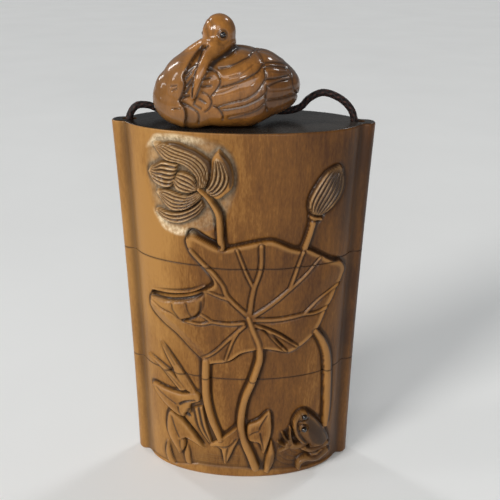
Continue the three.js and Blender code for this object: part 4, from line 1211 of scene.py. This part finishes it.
def even_curve(points, step):
    curve = centripetal(points, step / 2)
    length = run_along(curve)[-1]
    return spaced(curve, int(length / step) + 1), length


CORD_CENTRE, CORD_LENGTH = even_curve(np.array(CORD_POINTS) * MM, 0.2 * MM)
# Each hole in the crane: from a point deeper than the cord's end, then out along the cord
CORD_HOLES = [[run[0] + (run[0] - run[10]) * 0.4, run[0], run[20], run[40]]
              for run in (CORD_CENTRE, CORD_CENTRE[::-1])]


def braided_cord():
    sides = 24
    turns = np.linspace(0, 2 * math.pi, sides, endpoint=False)[None, :]
    twist = 2 * math.pi / BRAID_PITCH * np.linspace(0, CORD_LENGTH, len(CORD_CENTRE))[:, None]
    one = np.cos(4 * turns + 2 * twist)
    two = np.cos(4 * turns - 2 * twist)
    strands = np.maximum(one, two)
    radius = CORD_DIAMETER / 2 * (0.94 + 0.09 * strands)
    made = grid_mesh("cord_braid_surface", tube_rings(CORD_CENTRE, radius, sides), caps=())
    for name, field in (("weave", (one - two) * 0.5), ("strand", strands)):
        put_values(made, name, np.concatenate([field.reshape(-1), [0, 0]]))
    shade(made, math.radians(70))
    return made


# Materials

class Paint:
    """A new material's node tree, with short ways to add nodes."""

    def __init__(self, name):
        self.material = bpy.data.materials.new(name)
        self.material.use_nodes = True
        self.nodes = self.material.node_tree.nodes
        self.links = self.material.node_tree.links
        self.shader = self.nodes["Principled BSDF"]

    def add(self, kind, inputs=None, **settings):
        made = self.nodes.new(kind)
        for name, value in settings.items():
            setattr(made, name, value)
        for name, value in (inputs or {}).items():
            self.feed(made.inputs[name], value)
        return made

    def feed(self, socket, value):
        if isinstance(value, bpy.types.NodeSocket):
            self.links.new(value, socket)
        else:
            socket.default_value = value

    def noise(self, scale, stretch=(1, 1, 1), detail=3.0, rough=0.55, warp=0.0):
        where = self.add("ShaderNodeTexCoord").outputs["Object"]
        placed = self.add("ShaderNodeMapping", {"Vector": where, "Scale": stretch}).outputs["Vector"]
        inputs = {"Vector": placed, "Scale": scale, "Detail": detail, "Roughness": rough, "Distortion": warp}
        return self.add("ShaderNodeTexNoise", inputs).outputs["Fac"]

    def value(self, name):
        return self.add("ShaderNodeAttribute", attribute_name=name).outputs["Fac"]

    def math(self, operation, a, b):
        made = self.add("ShaderNodeMath", operation=operation)
        self.feed(made.inputs[0], a)
        self.feed(made.inputs[1], b)
        return made.outputs[0]

    def times(self, a, b):
        return self.math("MULTIPLY", a, b)

    def plus(self, a, b):
        return self.math("ADD", a, b)

    def spread(self, value, low, high, to_low=0.0, to_high=1.0):
        inputs = {"Value": value, "From Min": low, "From Max": high, "To Min": to_low, "To Max": to_high}
        return self.add("ShaderNodeMapRange", inputs).outputs["Result"]

    def mix(self, amount, a, b):
        made = self.add("ShaderNodeMix", data_type="RGBA", blend_type="MIX")
        self.feed(made.inputs["Factor"], amount)
        self.feed(made.inputs["A"], a)
        self.feed(made.inputs["B"], b)
        return made.outputs["Result"]

    def position(self):
        where = self.add("ShaderNodeTexCoord").outputs["Object"]
        return self.add("ShaderNodeSeparateXYZ", {"Vector": where}).outputs

    def set(self, **inputs):
        for name, value in inputs.items():
            self.feed(self.shader.inputs[name.replace("_", " ")], value)
        return self.material


def color(r, g, b):
    return (r, g, b, 1.0)


def boxwood(name, light, mid, dark, gloss, coat, dark_top_and_reflection):
    """Polished wood: grain and pores, crests lighter from wear and painted highlight, painted shade in the
    hollows, stains and painted shade, and a pale painted highlight and sheen where it is rubbed.
    """
    p = Paint(name)
    broad = p.noise(45, (1, 1, 0.45), detail=3, rough=0.6, warp=0.4)
    streak = p.noise(900, (1, 1, 0.13), detail=4, rough=0.65)
    pores = p.noise(2600, (1, 1, 0.3), detail=2, rough=0.5)
    # Painted shade: the wood is darker towards the right, the side away from the key light
    tilt = p.spread(p.position()["X"], -0.021, 0.016)
    tone = p.plus(p.spread(broad, 0.2, 0.8, 0.05, 1.05), p.times(tilt, -0.6))
    tone = p.plus(p.plus(tone, p.times(streak, 0.55)), p.times(pores, 0.4))
    base = p.mix(p.spread(tone, 0.25, 0.72), dark, mid)
    base = p.mix(p.spread(tone, 0.62, 1.15), base, light)
    hollow = p.value("hollow")
    # Crests lighter, partly wear and partly painted highlight; painted shade darkens the hollows
    base = p.mix(p.times(p.spread(hollow, -0.15, -0.8), 0.48), base, color(0.44, 0.22, 0.065))
    base = p.mix(p.times(p.spread(hollow, 0.05, 0.75), 0.86), base, color(0.036, 0.017, 0.008))
    # A pale, mottled painted highlight and sheen where the polish value is high; partly burnished wear
    polish_and_sheen = p.value("polish_and_sheen")
    mottled = p.times(polish_and_sheen, p.spread(p.noise(1500, (1, 1, 0.7)), 0.32, 0.62, 0.3, 1.05))
    base = p.mix(p.times(mottled, 0.85), base, color(0.86, 0.7, 0.46))
    # Stains, and painted shade in grooves, valleys, creases and on the ground
    base = p.mix(p.value("stain_and_shade"), base, color(0.022, 0.011, 0.006))
    base = p.mix(p.times(p.value("hidden"), 0.75), base, color(0.06, 0.03, 0.014))
    rough = p.plus(p.spread(streak, 0.3, 0.7, gloss, gloss + 0.12), p.times(polish_and_sheen, -0.07))
    # A dark top, with a painted reflection that turns lighter grey towards the right
    if dark_top_and_reflection:
        normal = p.add("ShaderNodeNewGeometry").outputs["Normal"]
        facing = p.add("ShaderNodeSeparateXYZ", {"Vector": normal}).outputs["Z"]
        at_top = p.spread(p.position()["Z"], CASE_HEIGHT - 0.5 * MM, CASE_HEIGHT - 0.15 * MM)
        on_top = p.times(at_top, p.spread(facing, 0.6, 0.9))
        top_reflection = p.mix(tilt, color(0.012, 0.008, 0.006), color(0.075, 0.062, 0.052))
        lacquer_and_reflection = p.mix(p.noise(120, warp=0.5), color(0.006, 0.004, 0.003), top_reflection)
        base = p.mix(on_top, base, lacquer_and_reflection)
        rough = p.plus(rough, p.times(on_top, -0.12))
    bump = p.add("ShaderNodeBump", {"Strength": 0.3, "Distance": 0.00003, "Height": p.plus(streak, pores)})
    return p.set(Base_Color=base, Roughness=rough, Normal=bump.outputs["Normal"], Specular_IOR_Level=0.17,
                 Coat_Weight=coat[0], Coat_Roughness=coat[1])


def horn(name):
    p = Paint(name)
    return p.set(Base_Color=color(0.008, 0.006, 0.006), Roughness=0.08, Coat_Weight=0.6, Coat_Roughness=0.04)


def silk(name):
    p = Paint(name)
    threads = p.noise(6000, detail=2)
    height = p.spread(p.value("strand"), -0.2, 0.9)
    # Painted shade between the strands: the braid's low parts are darker
    base = p.mix(height, color(0.004, 0.003, 0.003), color(0.018, 0.011, 0.01))
    base = p.mix(p.times(p.spread(p.value("weave"), 0.1, 0.8), 0.5), base, color(0.1, 0.036, 0.026))
    bump = p.add("ShaderNodeBump", {"Strength": 0.5, "Distance": 0.00005, "Height": threads})
    return p.set(Base_Color=base, Roughness=0.55, Normal=bump.outputs["Normal"], Specular_IOR_Level=0.2)


def floor_paint(name):
    p = Paint(name)
    cloud = p.noise(9, detail=3)
    base = p.mix(cloud, color(0.84, 0.845, 0.84), color(0.92, 0.925, 0.92))
    return p.set(Base_Color=base, Roughness=0.9)


# The scene

def dress(obj, paint, node):
    """Gives a piece its paint, puts it under the root body, and hides the solid it stands for."""
    obj.data.materials.clear()
    obj.data.materials.append(paint)
    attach(obj, "root")
    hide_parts(node)


def inlaid_bead(node, centre, radius, paint):
    bead = ball(centre, radius)
    bead.name = node + "_bead"
    shade(bead)
    dress(bead, paint, node)


FRONT = front_sheet()
BACK = back_sheet()
for face in (FRONT, BACK):
    face.find_hollows()

case_wood = boxwood("case_boxwood", light=color(0.36, 0.176, 0.044), mid=color(0.184, 0.074, 0.0135),
                    dark=color(0.07, 0.026, 0.007), gloss=0.34, coat=(0.12, 0.2), dark_top_and_reflection=True)
bird_wood = boxwood("netsuke_boxwood", light=color(0.38, 0.158, 0.03), mid=color(0.18, 0.068, 0.012),
                    dark=color(0.065, 0.025, 0.007), gloss=0.32, coat=(0.7, 0.05), dark_top_and_reflection=False)
for build, node in ((bottom_case, "bottom_case"), (middle_case, "middle_case"), (lid, "lid")):
    piece = build()
    finish_case_piece(piece)
    dress(piece, case_wood, node)

dress(crane(), bird_wood, "netsuke")
dress(braided_cord(), silk("cord_silk"), "cord")

horn_paint = horn("black_horn")
for eye, node in zip(CRANE_EYES, ("crane_eye_left", "crane_eye_right")):
    inlaid_bead(node, Vector(eye) + BIRD_PLACE, CRANE_EYE_RADIUS, horn_paint)
for eye, node in zip(FROG_EYES, ("frog_eye_front", "frog_eye_back")):
    inlaid_bead(node, on_front(*eye), FROG_EYE_RADIUS, horn_paint)

FLOOR_REACH = 4
floor_mesh = bpy.data.meshes.new("floor")
floor_mesh.from_pydata([(x * FLOOR_REACH, y * FLOOR_REACH, 0) for x, y in ((-1, -1), (1, -1), (1, 1),
                                                                           (-1, 1))], [],
                       [(0, 1, 2, 3)])
floor_mesh.update()
floor = linked("floor", floor_mesh)
floor.data.materials.append(floor_paint("pale_floor"))


def lamp(name, kind, travels, energy, tint):
    """A new light that shines the way it travels."""
    data = bpy.data.lights.new(name, kind)
    data.energy = energy
    data.color = tint
    made = linked(name, data)
    made.rotation_euler = Vector(travels).to_track_quat("-Z", "Y").to_euler()
    return made


def area_light(name, place, aim, size, power, tint):
    made = lamp(name, "AREA", Vector(aim) - Vector(place), power, tint)
    made.location = place
    made.data.shape = "RECTANGLE"
    made.data.size, made.data.size_y = size


def far_light(name, travels, energy, angle, tint=(1, 1, 1)):
    lamp(name, "SUN", travels, energy, tint).data.angle = angle


def tall_glint(name, travels, energy, lean=0.13, angle=0.13):
    """Three small far lights above each other, seen in a polished surface as one tall window."""
    for k in (-1, 0, 1):
        far_light(name, (travels[0], travels[1], travels[2] + k * lean), energy / 3, angle)


WARM = (1, 0.98, 0.95)
far_light("window_light", (0.64, 0.56, -0.47), 1.75, 0.32, WARM)
far_light("back_window", (-0.5, -0.45, -0.72), 0.45, 0.2, (0.95, 0.98, 1))
far_light("front_glint", (-0.29, 0.93, -0.1), 0.45, 0.17)
tall_glint("left_glint", (0.93, 0.1, -0.34), 0.32)
tall_glint("back_glint", (0.68, -0.53, -0.45), 0.5)
area_light("near_light", (-0.1, -0.72, 0.5), (0, -0.04, 0), (0.45, 0.45), 2.3, WARM)

world = bpy.data.worlds.new("studio")
world.use_nodes = True
sky = world.node_tree.nodes["Background"].inputs
sky["Color"].default_value = (0.9, 0.94, 0.97, 1)
sky["Strength"].default_value = 0.18
bpy.context.scene.world = world
bpy.context.scene.view_settings.view_transform = "Standard"

# The camera, as fitted to the photograph
CAMERA_PLACE = Vector((4.546 * MM, -140.503 * MM, 129.332 * MM))
PITCH, ROLL, YAW = 0.4391, 0.0074, 0.0199
LENS_LENGTH = 44.85
right = Vector((math.cos(YAW), math.sin(YAW), 0))
ahead = Vector((-math.sin(YAW), math.cos(YAW), 0))
forward = math.cos(PITCH) * ahead - Vector((0, 0, math.sin(PITCH)))
up = math.sin(PITCH) * ahead + Vector((0, 0, math.cos(PITCH)))
across = math.cos(ROLL) * right + math.sin(ROLL) * up
top = -math.sin(ROLL) * right + math.cos(ROLL) * up
lens = bpy.data.cameras.new("photo_camera")
lens.lens = LENS_LENGTH
lens.sensor_width = 36
lens.clip_start = 0.01
camera = linked("photo_camera", lens)
camera.matrix_world = Matrix.Translation(CAMERA_PLACE) @ Matrix((across, top, -forward)).transposed().to_4x4()
bpy.context.scene.camera = camera
